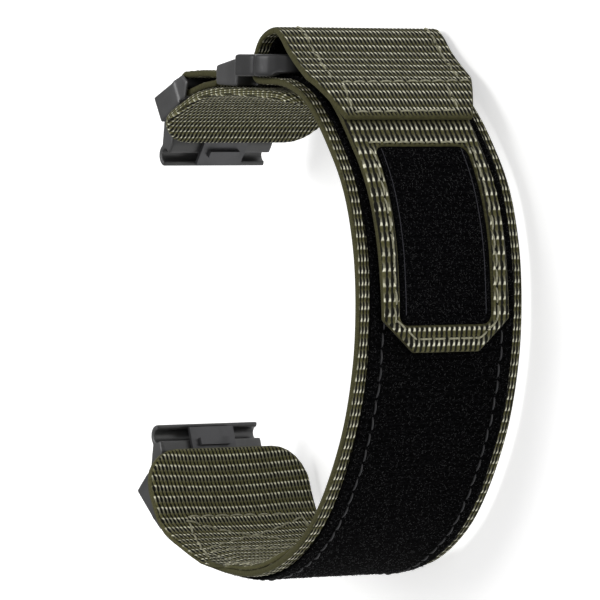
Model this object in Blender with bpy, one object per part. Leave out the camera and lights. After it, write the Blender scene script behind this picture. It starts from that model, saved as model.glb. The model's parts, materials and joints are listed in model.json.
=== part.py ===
"""A woven nylon watch strap with a hook and loop closure, closed round a wrist and lying on its edge.

X runs from the lower lug of the watch to the upper one, Y points from the wrist to the watch,
and Z runs across the width of the strap. The origin is on the floor, under the middle of the strap.
A profile point is a pair (x, y) measured from the middle of the watch's two lug pins.
"""
import math

import bmesh
import bpy
from mathutils import Vector

MM = 0.001

# Clearances between pieces
SEWN_GAP = 0.15 * MM
SEAT_GAP = 0.3 * MM
FIT_GAP = 0.1 * MM
CUT_OVERRUN = 1.0 * MM

# Webbing, pads, loop panel and hook patch
WEBBING_THICK = 1.1 * MM
PAD_THICK = 1.5 * MM
PANEL_WIDTH = 28.6 * MM
PANEL_THICK = 0.5 * MM
HOOK_THICK = 0.35 * MM
TAIL_WIDTH = 24.6 * MM
INSET_WIDTH = 17.6 * MM
INSET_LENGTH = 28.6 * MM
INSET_CORNER = 1.6 * MM
INSET_DROP = 0.2 * MM

# The loop that the closed strap makes round the wrist
LOOP_BULGE = 5.2 * MM
LOOP_DEPTH = 70.2 * MM

# The quick-release adapters, each from its webbing bar to the pin of the watch
LUG_PIN_SPAN = 49.2 * MM
ADAPTER_WIDTH = 25.8 * MM
ADAPTER_REACH = 15.3 * MM
UPPER_TILT = math.radians(32.8)
LOWER_TILT = math.radians(22.0)
BAR_RADIUS = 0.9 * MM

# The buckle: a base on the short strap, and the ring that the long strap passes through
CHEEK_WIDTH = 4.4 * MM
BASE_BAR_RADIUS = 0.7 * MM
HINGE_PIN_RADIUS = 0.7 * MM
KNUCKLE_RADIUS = 1.35 * MM
RAIL_WIDTH = 1.5 * MM
RING_HEIGHT = 3.8 * MM
RING_THICK = 1.5 * MM
RING_LENGTH = 12.8 * MM
RING_LEAN = math.radians(2.6)
HINGE_REACH = 1.0 * MM

RING_CORNER = 6.0 * MM
RING_CREASE = 0.65 * MM
CREASE_PLACE = 5.95 * MM
SLOT_GAP = 0.4 * MM
SLOT_CORNER = 4.6 * MM
EDGE_WIDTH = 0.2 * MM
END_BAR_RAISE = 0.5 * MM
BASE_HEIGHT = 3.6 * MM
CHEEK_SKIN = 0.6 * MM
LIP_THICK = 0.6 * MM
LIP_REACH = 4.3 * MM

# Places of the buckle: how far out from the upper lug pin, and how far down
BASE_BAR_OUT = 15.3 * MM
BASE_BAR_Y = -26.6 * MM
HINGE_OUT = 16.8 * MM
HINGE_Y = -30.9 * MM
RING_OUT = 15.8 * MM

# The fold of the long strap above the ring, and the tail that comes down from it
CLIMB_ROOM = 0.55 * MM
TURN_RADIUS = 2.2 * MM
FOLD_RISE = 4.3 * MM
FOLD_LEAN = 1.9 * MM
FOLD_REACH = 5.8 * MM
FOLD_JOIN = 4.2 * MM
TIP_START = 5.6 * MM
CUT_END = 15.8 * MM
CUT_HALF = 13.2 * MM
CUT_TAPER = 8.5 * MM
INSET_START = 21.1 * MM
TAIL_END = 54.1 * MM
CHAMFER_ACROSS = 6.0 * MM
CHAMFER_ALONG = 5.2 * MM
HOOK_MARGIN = 0.5 * MM

# Where the long strap widens, its panel starts, and its pad joins it, from the lower webbing bar
FLARE_START = 4.6 * MM
FLARE_STOP = 14.6 * MM
PANEL_START = 18.6 * MM
PAD_JOIN = 24.6 * MM
PAD_STOP = 49.6 * MM
PAD_ACROSS = 6.5 * MM
PAD_ALONG = 7.0 * MM
FLAP_DROP = 0.7 * MM
FLAP_PAST = 2.3 * MM
FLAP_CORNER = 5.0 * MM

# The adapter's frame, latch and latch spring
PLATE_THICK = 0.8 * MM
PLATE_STEP = 0.25 * MM
BAR_SKIN = 0.2 * MM
CLAW_WIDTH = 21.0 * MM
CLAW_RADIUS = 2.0 * MM
SEAT_RADIUS = 1.05 * MM
HOUSING_WIDTH = 11.2 * MM
HOUSING_WALL = 0.8 * MM
HOUSING_START = 5.6 * MM
HOUSING_STOP = 10.4 * MM
HOUSING_TOP = 1.3 * MM
POCKET_TOP = -0.95 * MM
POCKET_FLOOR = -1.95 * MM
KEEPER_THICK = 0.45 * MM
LATCH_START = 9.2 * MM
LATCH_STOP = 16.3 * MM
LATCH_TOP = -1.15 * MM
LATCH_THICK = 0.6 * MM
THUMB_START = 12.9 * MM
THUMB_STOP = 14.2 * MM
THUMB_WIDTH = 6.0 * MM
THUMB_THICK = 0.65 * MM
SPRING_TURNS = 3
SPRING_WIRE = 0.1 * MM
SPRING_RADIUS = 0.3 * MM
SPRING_STEPS = 8

# Smoothness of curved outlines
CURVE_STEPS = 24
TURN_LIMIT = math.radians(7.0)
REACH_LIMIT = 5.0 * MM
CORNER_STEPS = 6
CIRCLE_STEPS = 20
EYE_STEPS = 8
ROUND_ANGLE = math.radians(30.0)
BEVEL_ANGLE = math.radians(50.0)

# Angles where the webbing leaves a bar, ends its turn behind the ring, and where a claw's mouth opens
EYE_OPEN = math.radians(8.0)
TURN_STOP = math.radians(80.0)
CLAW_BACK = math.radians(120.0)
CLAW_MOUTH = math.radians(-25.0)
CLAW_ROOT = math.radians(200.0)
CHEEK_START = math.radians(15.0)

# Colours, as linear red, green, blue, then roughness and metallic
OLIVE = ((0.19, 0.185, 0.12), 0.85, 0.0)
OLIVE_PALE = ((0.24, 0.235, 0.16), 0.85, 0.0)
BLACK_PILE = ((0.008, 0.008, 0.009), 0.95, 0.0)
BLACK_STEEL = ((0.045, 0.045, 0.047), 0.38, 1.0)
DARK_STEEL = ((0.11, 0.11, 0.115), 0.3, 1.0)

# From the lower adapter round the wrist and up to the ring, as shares of the loop's size
LOOP_SHARES = [
    (-0.936, -0.150), (-0.958, -0.256), (-0.985, -0.370), (-0.999, -0.484), (-0.990, -0.577),
    (-0.934, -0.690), (-0.806, -0.806), (-0.652, -0.882), (-0.390, -0.960), (-0.140, -0.995),
    (0.060, -1.000), (0.270, -0.986), (0.456, -0.951), (0.566, -0.915), (0.664, -0.868),
    (0.762, -0.812), (0.845, -0.748), (0.880, -0.694),
]

# Shapes in an adapter's own profile, as shares of its reach from its webbing bar to the lug pin
PLATE_SHARES = [(0.467, 0.376), (0.065, 0.137), (0.190, -0.115), (0.601, 0.078)]
EAR_SHARES = [(0.078, 0.170), (-0.085, 0.059), (-0.085, -0.085), (0.092, -0.150), (0.229, -0.046)]
BODY_SHARES = [(0.451, 0.353), (0.170, 0.190), (0.190, 0.039), (0.222, -0.092), (0.582, 0.075)]
ARM_TOP_SHARES = [(0.425, 0.327), (0.686, 0.248), (0.876, 0.150)]
ARM_FLOOR_SHARES = [(0.931, -0.059), (0.810, -0.059), (0.562, 0.065), (0.327, 0.065)]
LOWER_RETURN_SHARES = [(-0.480, -0.826), (-0.220, -0.437)]
LOWER_PAD_SHARES = [
    (0.760, -0.283), (0.438, -0.294), (0.183, -0.346), (-0.131, -0.525), (-0.317, -0.765),
    (-0.535, -1.050),
]
UPPER_PAD_SHARES = [(0.620, -0.258), (0.284, -0.307), (-0.107, -0.529), (-0.321, -0.686)]

# The short webbing between its two bars: a share of the way, and a rise in thicknesses of webbing
SHORT_TOP_SHARES = [(0.30, 1.18), (0.60, 0.65), (0.85, 1.00)]
SHORT_START_SHARES = [(0.53, -0.62), (0.30, -0.77)]
SHORT_END_SHARES = [(0.85, -1.00), (0.56, -0.62)]

# The fold on its way down, as shares of its rise from the apex
FOLD_SHARES = [(-0.120, -0.685), (-0.690, -1.525)]

# The cheek of the buckle's base, as shares of its height from the webbing bar
CHEEK_SHARES = [(-0.50, -1.40), (-0.50, 0.36), (0.42, 0.40)]


# Plane geometry

def unit(vector):
    return vector.normalized()


def left_of(vector):
    return Vector((-vector.y, vector.x))


def arc(centre, radius, start, stop, steps=CIRCLE_STEPS):
    """Points on an arc, from one angle to another, both included."""
    angles = [start + (stop - start) * k / steps for k in range(steps + 1)]
    return [centre + radius * Vector((math.cos(a), math.sin(a))) for a in angles]


def circle(centre, radius, steps=CIRCLE_STEPS):
    return arc(centre, radius, 0, math.tau, steps)[:-1]


def smooth(points):
    """A centripetal Catmull-Rom curve through the given points, sampled finely."""
    first = 2 * points[0] - points[1]
    last = 2 * points[-1] - points[-2]
    guide = [first] + points + [last]
    curve = [points[0]]
    for p0, p1, p2, p3 in zip(guide, guide[1:], guide[2:], guide[3:]):
        t1 = math.sqrt((p1 - p0).length)
        t2 = t1 + math.sqrt((p2 - p1).length)
        t3 = t2 + math.sqrt((p3 - p2).length)
        for k in range(1, CURVE_STEPS + 1):
            t = t1 + (t2 - t1) * k / CURVE_STEPS
            a1 = p0.lerp(p1, t / t1)
            a2 = p1.lerp(p2, (t - t1) / (t2 - t1))
            a3 = p2.lerp(p3, (t - t2) / (t3 - t2))
            b1 = a1.lerp(a2, t / t2)
            b2 = a2.lerp(a3, (t - t1) / (t3 - t1))
            curve.append(b1.lerp(b2, (t - t1) / (t2 - t1)))
    return curve


def thin(curve):
    """Keeps the points that the shape needs: one for each few degrees of turn, or few millimetres."""
    kept = [curve[0]]
    turned = 0.0
    for before, here, after in zip(curve, curve[1:], curve[2:]):
        turned += abs((here - before).angle(after - here, 0.0))
        if turned > TURN_LIMIT or (here - kept[-1]).length > REACH_LIMIT:
            kept.append(here)
            turned = 0.0
    kept.append(curve[-1])
    return kept


class Line:
    """A line that layers of fabric follow. Offsets are to its left, so all layers stay parallel."""

    def __init__(self, points):
        self.points = points
        self.lengths = [0.0]
        for before, after in zip(points, points[1:]):
            self.lengths.append(self.lengths[-1] + (after - before).length)
        runs = [left_of(unit(b - a)) for a, b in zip(points, points[1:])]
        pairs = zip([runs[0]] + runs, runs + [runs[-1]])
        self.sides = [(one + two) / (1 + one.dot(two)) for one, two in pairs]
        self.end = self.lengths[-1]

    def at(self, distance, offset=0.0):
        """The point at a distance along the line and an offset to its left."""
        k = 1
        while k < len(self.points) - 1 and self.lengths[k] < distance:
            k += 1
        share = (distance - self.lengths[k - 1]) / (self.lengths[k] - self.lengths[k - 1])
        before = self.points[k - 1] + offset * self.sides[k - 1]
        after = self.points[k] + offset * self.sides[k]
        return before.lerp(after, share)

    def mark(self, target):
        """The distance along the line of its place nearest to a given point."""
        places = []
        for k, (before, after) in enumerate(zip(self.points, self.points[1:])):
            run = after - before
            share = min(1.0, max(0.0, (target - before).dot(run) / run.dot(run)))
            gap = (before + share * run - target).length
            places.append((gap, self.lengths[k] + share * run.length))
        return min(places)[1]

    def shifted(self, offset):
        """The points of the parallel line at an offset."""
        return [p + offset * s for p, s in zip(self.points, self.sides)]


# Half widths along a strip, as pairs of distance and half width

def rounded_start(start, half, across, along):
    """Rounds the two corners at the start of a strip."""
    angles = [k * math.pi / 2 / CORNER_STEPS for k in range(CORNER_STEPS + 1)]
    return [(start + along * (1 - math.cos(a)), half - across * (1 - math.sin(a))) for a in angles]


def rounded_stop(stop, half, across, along):
    """Rounds the two corners at the end of a strip."""
    mirrored = rounded_start(0.0, half, across, along)
    return [(stop - distance, width) for distance, width in reversed(mirrored)]


def half_width(widths, distance):
    for (d0, w0), (d1, w1) in zip(widths, widths[1:]):
        if distance <= d1:
            return w0 + (w1 - w0) * max(0.0, distance - d0) / (d1 - d0)
    return widths[-1][1]


# Making objects

def material(name, look):
    colour, roughness, metallic = look
    made = bpy.data.materials.new(name)
    made.use_nodes = True
    shader = made.node_tree.nodes["Principled BSDF"]
    shader.inputs["Base Color"].default_value = (*colour, 1.0)
    shader.inputs["Roughness"].default_value = roughness
    shader.inputs["Metallic"].default_value = metallic
    return made


def new_object(name, mesh, look, parent):
    """Links a mesh that is written in world places, seen from its parent's place."""
    mesh.materials.append(material(name, look))
    made = bpy.data.objects.new(name, mesh)
    bpy.context.collection.objects.link(made)
    made.parent = parent
    for vertex in mesh.vertices:
        vertex.co -= joint_places[parent.name]
    return made


def finished(name, mesh_maker, look, parent):
    """Closes a bmesh into an object, with its faces pointing out and its round sides smooth."""
    bmesh.ops.recalc_face_normals(mesh_maker, faces=mesh_maker.faces)
    mesh = bpy.data.meshes.new(name)
    mesh_maker.to_mesh(mesh)
    mesh_maker.free()
    made = new_object(name, mesh, look, parent)
    mesh.shade_smooth()
    mesh.set_sharp_from_angle(angle=ROUND_ANGLE)
    return made


def strip(name, line, widths, inner, outer, look, parent):
    """A flat band of fabric along a line, between two offsets, as wide as its half widths say."""
    start, stop = widths[0][0], widths[-1][0]
    stations = [d for d in line.lengths if start < d < stop] + [d for d, _ in widths]
    stations = sorted(set(stations))
    spaced = [stations[0]]
    for distance in stations[1:]:
        if distance - spaced[-1] > SEWN_GAP / 10 or distance == stop:
            spaced.append(distance)
    made = bmesh.new()
    rings = []
    for distance in spaced:
        low, high = line.at(distance, inner), line.at(distance, outer)
        half = half_width(widths, distance)
        corners = [(low, -half), (high, -half), (high, half), (low, half)]
        rings.append([made.verts.new((p.x, p.y, z)) for p, z in corners])
    for one, two in zip(rings, rings[1:]):
        for k in range(len(one)):
            made.faces.new((one[k - 1], one[k], two[k], two[k - 1]))
    made.faces.new(rings[0])
    made.faces.new(rings[-1])
    return finished(name, made, look, parent)


def along_z(point, height):
    return (point.x, point.y, height)


def along_x(point, height):
    """The ring's outlines are drawn seen from outside, and lean in towards its hinge."""
    return (height - math.tan(RING_LEAN) * (point.x - end_bar.y), point.x, point.y)


def prism(name, outline, low, high, look, parent, place=along_z):
    """An outline extruded from one height to another, along Z unless told otherwise."""
    made = bmesh.new()
    bottom = [made.verts.new(place(p, low)) for p in outline]
    top = [made.verts.new(place(p, high)) for p in outline]
    made.faces.new(bottom)
    made.faces.new(top)
    for k in range(len(outline)):
        made.faces.new((bottom[k - 1], bottom[k], top[k], top[k - 1]))
    return finished(name, made, look, parent)


def helper(made):
    made.hide_render = True
    made.display_type = "WIRE"


def combine(target, others, operation):
    """Joins other solids to one, or cuts them from it."""
    for other in others:
        step = target.modifiers.new(operation.lower() + " " + other.name, "BOOLEAN")
        step.operation = operation
        step.solver = "EXACT"
        step.object = other
        helper(other)
    return target


def soften(target, width):
    """Breaks the sharp edges of a metal piece."""
    bevel = target.modifiers.new("edges", "BEVEL")
    bevel.width = width
    bevel.segments = 1
    bevel.limit_method = "ANGLE"
    bevel.angle_limit = BEVEL_ANGLE


def joint(name, place, parent=None):
    """An empty on a joint's axis, at half the strap's width."""
    made = bpy.data.objects.new(name, None)
    bpy.context.collection.objects.link(made)
    made.parent = parent
    joint_places[name] = Vector((place.x, place.y, 0.0))
    made.location = joint_places[name]
    if parent:
        made.location -= joint_places[parent.name]
    return made


for old in list(bpy.data.objects):
    bpy.data.objects.remove(old, do_unlink=True)

joint_places = {}

# Places of the adapters' bars, on the lines that lean out from the lug pins
upper_pin = Vector((LUG_PIN_SPAN / 2, 0))
lower_pin = Vector((-LUG_PIN_SPAN / 2, 0))
upper_bar = upper_pin + ADAPTER_REACH * Vector((math.cos(UPPER_TILT), -math.sin(UPPER_TILT)))
lower_bar = lower_pin + ADAPTER_REACH * Vector((-math.cos(LOWER_TILT), -math.sin(LOWER_TILT)))
base_bar = upper_pin + Vector((BASE_BAR_OUT, BASE_BAR_Y))
hinge_pin = upper_pin + Vector((HINGE_OUT, HINGE_Y))
ring_floor = upper_pin.x + RING_OUT
loop_half_height = abs(lower_bar.x) + LOOP_BULGE

# The ring lies flat: its near bar is beside the hinge, its end bar is inside the fold of the strap
ring_near = HINGE_Y - KNUCKLE_RADIUS - HINGE_REACH
ring_far = ring_near - RING_LENGTH
ring_top = ring_floor + RING_HEIGHT
end_bar_floor = ring_floor + END_BAR_RAISE
end_bar = Vector(((end_bar_floor + ring_top) / 2, ring_far + RING_THICK / 2))


# Routes of the webbing

def loop_point(share):
    return Vector((share[0] * loop_half_height, share[1] * LOOP_DEPTH))


class Adapter:
    """An adapter's own profile: u runs from its webbing bar to the lug pin, and v runs outward."""

    def __init__(self, bar, pin, outward):
        self.bar = bar
        self.along = unit(pin - bar)
        side = left_of(self.along)
        self.out = side if side.x * outward > 0 else -side

    def at(self, u, v):
        return self.bar + u * self.along + v * self.out

    def points(self, shares):
        return [self.at(u * ADAPTER_REACH, v * ADAPTER_REACH) for u, v in shares]

    def arc(self, centre_u, radius, start, stop):
        """Points on an arc about a place on the line from the bar to the pin."""
        local = arc(Vector((centre_u, 0)), radius, start, stop)
        return [self.at(p.x, p.y) for p in local]

    def block(self, u_start, u_stop, v_floor, v_top):
        corners = [(u_start, v_floor), (u_stop, v_floor), (u_stop, v_top), (u_start, v_top)]
        return [self.at(u, v) for u, v in corners]


upper = Adapter(upper_bar, upper_pin, 1)
lower = Adapter(lower_bar, lower_pin, -1)

# The webbing runs between the adapter's end plates, and widens by the cheeks of the buckle's base
webbing_half = WEBBING_THICK / 2
cheek_inner = ADAPTER_WIDTH / 2 - PLATE_THICK
narrow_half = cheek_inner - SEAT_GAP
wide_half = cheek_inner + CHEEK_WIDTH
panel_half = PANEL_WIDTH / 2
tip_half = TAIL_WIDTH / 2

eye_radius = BAR_RADIUS + SEWN_GAP + webbing_half
base_eye_radius = BASE_BAR_RADIUS + SEWN_GAP + webbing_half

# Offsets of the layers from the middle of the long strap's webbing, growing outward
panel_floor = webbing_half + SEWN_GAP
panel_top = panel_floor + PANEL_THICK
hook_floor = panel_top + SEWN_GAP
tip_floor = hook_floor + HOOK_THICK + SEWN_GAP
tip_top = tip_floor + WEBBING_THICK
fold_middle = tip_top + SEWN_GAP + webbing_half

# Under the ring the strap runs level, then turns up behind the ring's near bar
run_x = end_bar_floor - SEAT_GAP - panel_top
climb_y = ring_near - RING_THICK - CLIMB_ROOM - webbing_half
turn_centre = Vector((run_x + TURN_RADIUS, climb_y - TURN_RADIUS))
shoulder = Vector((ring_top + FOLD_RISE / 2, climb_y - FOLD_LEAN))
apex = Vector((ring_top + FOLD_RISE - webbing_half, climb_y - FOLD_REACH))

lower_return = lower.points(LOWER_RETURN_SHARES)
lower_eye = arc(lower_bar, eye_radius, -EYE_OPEN, math.pi, EYE_STEPS)
ring_run = [Vector((run_x, end_bar.y)), Vector((run_x, turn_centre.y))]
ring_turn = arc(turn_centre, TURN_RADIUS, math.pi, TURN_STOP, EYE_STEPS)[1:]
long_points = lower_return + lower_eye + [loop_point(s) for s in LOOP_SHARES]
long_points += ring_run + ring_turn + [shoulder, apex]
descent = [apex + FOLD_RISE * Vector(s) for s in FOLD_SHARES]
long_curve = smooth(long_points + descent)
long_line = Line(thin(long_curve[:-CURVE_STEPS * len(descent)]))
long_bar_end = long_line.mark(lower_eye[-1])
long_ring = long_line.mark(ring_run[0])

# The tail comes down from the fold, past the ring's end bar, and then lies along the loop
cut_place = long_ring - CUT_END
join_place = long_ring - FOLD_JOIN
beside = [long_line.at(d, -fold_middle) for d in long_line.lengths if cut_place < d < join_place]
beside = [long_line.at(join_place, -fold_middle)] + beside[::-1]
beside.append(long_line.at(cut_place, -fold_middle))
fold_curve = smooth([shoulder, apex] + descent + beside)[CURVE_STEPS:]
fold_line = Line(thin([p for p in fold_curve if (p - apex).length > SEAT_GAP]))
fold_ring = fold_line.mark(beside[0])

# The short webbing goes round both of its bars, and its two ends meet on the skin side
short_way = base_bar - upper_bar
short_side = left_of(unit(short_way)) * WEBBING_THICK


def short_point(share):
    return upper_bar + share[0] * short_way + share[1] * short_side


upper_eye = arc(upper_bar, eye_radius, math.pi, -EYE_OPEN, EYE_STEPS)
base_eye = arc(base_bar, base_eye_radius, EYE_OPEN, -math.pi, EYE_STEPS)
short_points = [short_point(s) for s in SHORT_START_SHARES] + upper_eye
short_points += [short_point(s) for s in SHORT_TOP_SHARES] + base_eye
short_points += [short_point(s) for s in SHORT_END_SHARES]
short_line = Line(thin(smooth(short_points)))

# The pads lie on the skin side: one runs under both adapter and buckle, one only under its adapter
pad_half = PAD_THICK / 2
pad_run_x = base_bar.x - base_eye_radius - webbing_half - SEAT_GAP - pad_half
pad_end = Vector((pad_run_x - FLAP_DROP, ring_far - FLAP_PAST))
upper_pad_points = upper.points(UPPER_PAD_SHARES)
upper_pad_points += [Vector((pad_run_x, y)) for y in (BASE_BAR_Y, end_bar.y)] + [pad_end]
upper_pad_line = Line(thin(smooth(upper_pad_points)))
pad_offset = webbing_half + SEAT_GAP + pad_half
pad_places = [d for d in long_line.lengths if PAD_JOIN < d - long_bar_end < PAD_STOP]
lower_pad_points = lower.points(LOWER_PAD_SHARES) + [long_line.at(d, pad_offset) for d in pad_places]
lower_pad_line = Line(thin(smooth(lower_pad_points)))

# One body for each piece that moves by itself, with an empty on its joint's axis
strap = joint("strap", Vector((0, 0)))
tail = joint("tail", long_line.at(long_line.end, webbing_half), strap)
ring = joint("ring", end_bar, strap)
short_strap = joint("short_strap", hinge_pin, ring)

# The long strap
flare = [(0.0, narrow_half), (long_bar_end + FLARE_START, narrow_half)]
flare += [(long_bar_end + FLARE_STOP, wide_half), (long_line.end, wide_half)]
strip("long_webbing", long_line, flare, webbing_half, -webbing_half, OLIVE, strap)
panel_ends = [(long_bar_end + PANEL_START, panel_half), (long_line.end, panel_half)]
strip("loop_panel", long_line, panel_ends, -panel_floor, -panel_top, BLACK_PILE, strap)
pad_ends = rounded_start(0.0, wide_half, PAD_ACROSS, PAD_ALONG)
pad_ends += rounded_stop(lower_pad_line.end, wide_half, PAD_ACROSS, PAD_ACROSS)
strip("long_inner_pad", lower_pad_line, pad_ends, pad_half, -pad_half, OLIVE_PALE, strap)

# The tail: its fold is sewn on a narrower tip with an inset, and hooks hold the tip on the loop panel
fold_taper = [(0.0, wide_half), (fold_line.end - CUT_TAPER, wide_half), (fold_line.end, CUT_HALF)]
strip("fold_webbing", fold_line, fold_taper, webbing_half, -webbing_half, OLIVE, tail)
fold_ends = [(0.0, panel_half), (fold_ring, panel_half)]
strip("fold_loop_panel", fold_line, fold_ends, -panel_floor, -panel_top, BLACK_PILE, tail)

tip_start = long_ring - TAIL_END
tip_stop = long_ring - TIP_START
tip_widths = [(tip_start, tip_half - CHAMFER_ACROSS), (tip_start + CHAMFER_ALONG, tip_half)]
tip_widths += [(tip_stop, tip_half)]
tip = strip("tail_tip", long_line, tip_widths, -tip_floor, -tip_top, OLIVE, tail)


def window(name, gap, floor, top, look):
    """The inset, or with a gap round it the window that it fills."""
    start = long_ring - INSET_START - INSET_LENGTH - gap
    stop = long_ring - INSET_START + gap
    half = INSET_WIDTH / 2 + gap
    widths = rounded_start(start, half, INSET_CORNER, INSET_CORNER)
    widths += rounded_stop(stop, half, INSET_CORNER, INSET_CORNER)
    return strip(name, long_line, widths, -floor, -top, look, tail)


window("tail_inset", 0.0, tip_floor, tip_top - INSET_DROP, BLACK_PILE)
opening = window("window_cutter", SEWN_GAP, hook_floor, tip_top + CUT_OVERRUN, OLIVE)
combine(tip, [opening], "DIFFERENCE")
hook_widths = [(place + HOOK_MARGIN, half - HOOK_MARGIN) for place, half in tip_widths[:2]]
hook_widths += [(long_ring - INSET_START, tip_half - HOOK_MARGIN)]
hook_top = hook_floor + HOOK_THICK
strip("hook_patch", long_line, hook_widths, -hook_floor, -hook_top, BLACK_PILE, tail)

# The short strap
short_widths = [(0.0, narrow_half), (short_line.end, narrow_half)]
strip("short_webbing", short_line, short_widths, webbing_half, -webbing_half, OLIVE, short_strap)
flap_ends = rounded_start(0.0, wide_half, PAD_ACROSS, PAD_ALONG)
flap_ends += rounded_stop(upper_pad_line.end, wide_half, FLAP_CORNER, FLAP_CORNER)
strip("short_inner_pad", upper_pad_line, flap_ends, pad_half, -pad_half, OLIVE_PALE, short_strap)


# The buckle's base: two cheeks that hold its bars, joined by a lip on the skin side

def ends_of(half_inner, half_outer):
    return [(half_inner, half_outer), (-half_outer, -half_inner)]


def hole(name, centre, radius, half, parent):
    """A cutter for a bar's hole, along Z."""
    return prism(name, circle(centre, radius), -half, half, DARK_STEEL, parent)


cheek = [base_bar + BASE_HEIGHT * Vector(s) for s in CHEEK_SHARES]
cheek += arc(hinge_pin, KNUCKLE_RADIUS, CHEEK_START, -math.pi / 2, CORNER_STEPS)
lip_floor = base_bar.x - BASE_HEIGHT / 2 + SEWN_GAP / 2
lip_start = BASE_BAR_Y - base_eye_radius - webbing_half - SEAT_GAP
lip = [Vector((lip_floor, lip_start)), Vector((lip_floor + LIP_THICK, lip_start))]
lip += [p - Vector((0, LIP_REACH)) for p in reversed(lip)]
lip_half = cheek_inner + CUT_OVERRUN
base = prism("buckle_base", lip, -lip_half, lip_half, BLACK_STEEL, short_strap)
cheeks = []
for k, (low, high) in enumerate(ends_of(cheek_inner, wide_half)):
    cheeks.append(prism(f"cheek_{k}", cheek, low, high, BLACK_STEEL, short_strap))
    soften(cheeks[k], EDGE_WIDTH)
combine(base, cheeks, "UNION")
hole_half = wide_half - CHEEK_SKIN
base_holes = [
    hole("base_bar_hole", base_bar, BASE_BAR_RADIUS + FIT_GAP, hole_half, short_strap),
    hole("base_pin_hole", hinge_pin, HINGE_PIN_RADIUS + FIT_GAP, hole_half, short_strap),
]
combine(base, base_holes, "DIFFERENCE")
bar_half = hole_half - FIT_GAP
for name, centre, radius in (
    ("buckle_webbing_bar", base_bar, BASE_BAR_RADIUS),
    ("buckle_hinge_pin", hinge_pin, HINGE_PIN_RADIUS),
):
    prism(name, circle(centre, radius), -bar_half, bar_half, DARK_STEEL, short_strap)


# The ring, drawn from outside as a frame: y along the strap, z across it

def mirrored(points):
    return points + [Vector((p.x, -p.y)) for p in reversed(points)]


slot_half = wide_half + SLOT_GAP
ring_half = slot_half + RAIL_WIDTH
crease_y = ring_near - CREASE_PLACE
frame = [Vector((ring_near, ring_half - RING_CREASE / 2))]
frame += [Vector((crease_y + RING_CREASE, ring_half - RING_CREASE / 2))]
frame += [Vector((crease_y, ring_half - RING_CREASE))]
frame += [Vector((crease_y - RING_CREASE, ring_half - RING_CREASE / 2))]
corner = Vector((ring_far + RING_CORNER, ring_half - RING_CORNER))
frame += arc(corner, RING_CORNER, math.pi / 2, math.pi, CORNER_STEPS)
slot_corner = Vector((ring_far + RING_THICK + SLOT_CORNER, slot_half - SLOT_CORNER))
slot = [Vector((ring_near - RING_THICK, slot_half))]
slot += arc(slot_corner, SLOT_CORNER, math.pi / 2, math.pi, CORNER_STEPS)
ring_body = prism("buckle_ring", mirrored(frame), ring_floor, ring_top, BLACK_STEEL, ring, along_x)
knuckle = arc(hinge_pin, KNUCKLE_RADIUS, 0, math.pi, EYE_STEPS)
knuckle_y = ring_near - RING_THICK / 2
knuckle += [Vector((x, knuckle_y)) for x in (ring_floor + SEAT_GAP, hinge_pin.x + KNUCKLE_RADIUS)]
combine(ring_body, [prism("knuckle", knuckle, -narrow_half, narrow_half, BLACK_STEEL, ring)], "UNION")
slot_low, slot_high = ring_floor - CUT_OVERRUN, ring_top + CUT_OVERRUN
end_gap = [Vector((ring_far - CUT_OVERRUN, slot_half))]
end_gap += [Vector((ring_far + RING_THICK + CUT_OVERRUN, slot_half))]
ring_cuts = [
    prism("slot", mirrored(slot), slot_low, slot_high, BLACK_STEEL, ring, along_x),
    prism("end_gap", mirrored(end_gap), slot_low, end_bar_floor, BLACK_STEEL, ring, along_x),
    hole("knuckle_hole", hinge_pin, HINGE_PIN_RADIUS + FIT_GAP, cheek_inner, ring),
]
combine(ring_body, ring_cuts, "DIFFERENCE")
soften(ring_body, EDGE_WIDTH)


# The quick-release adapters

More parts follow.
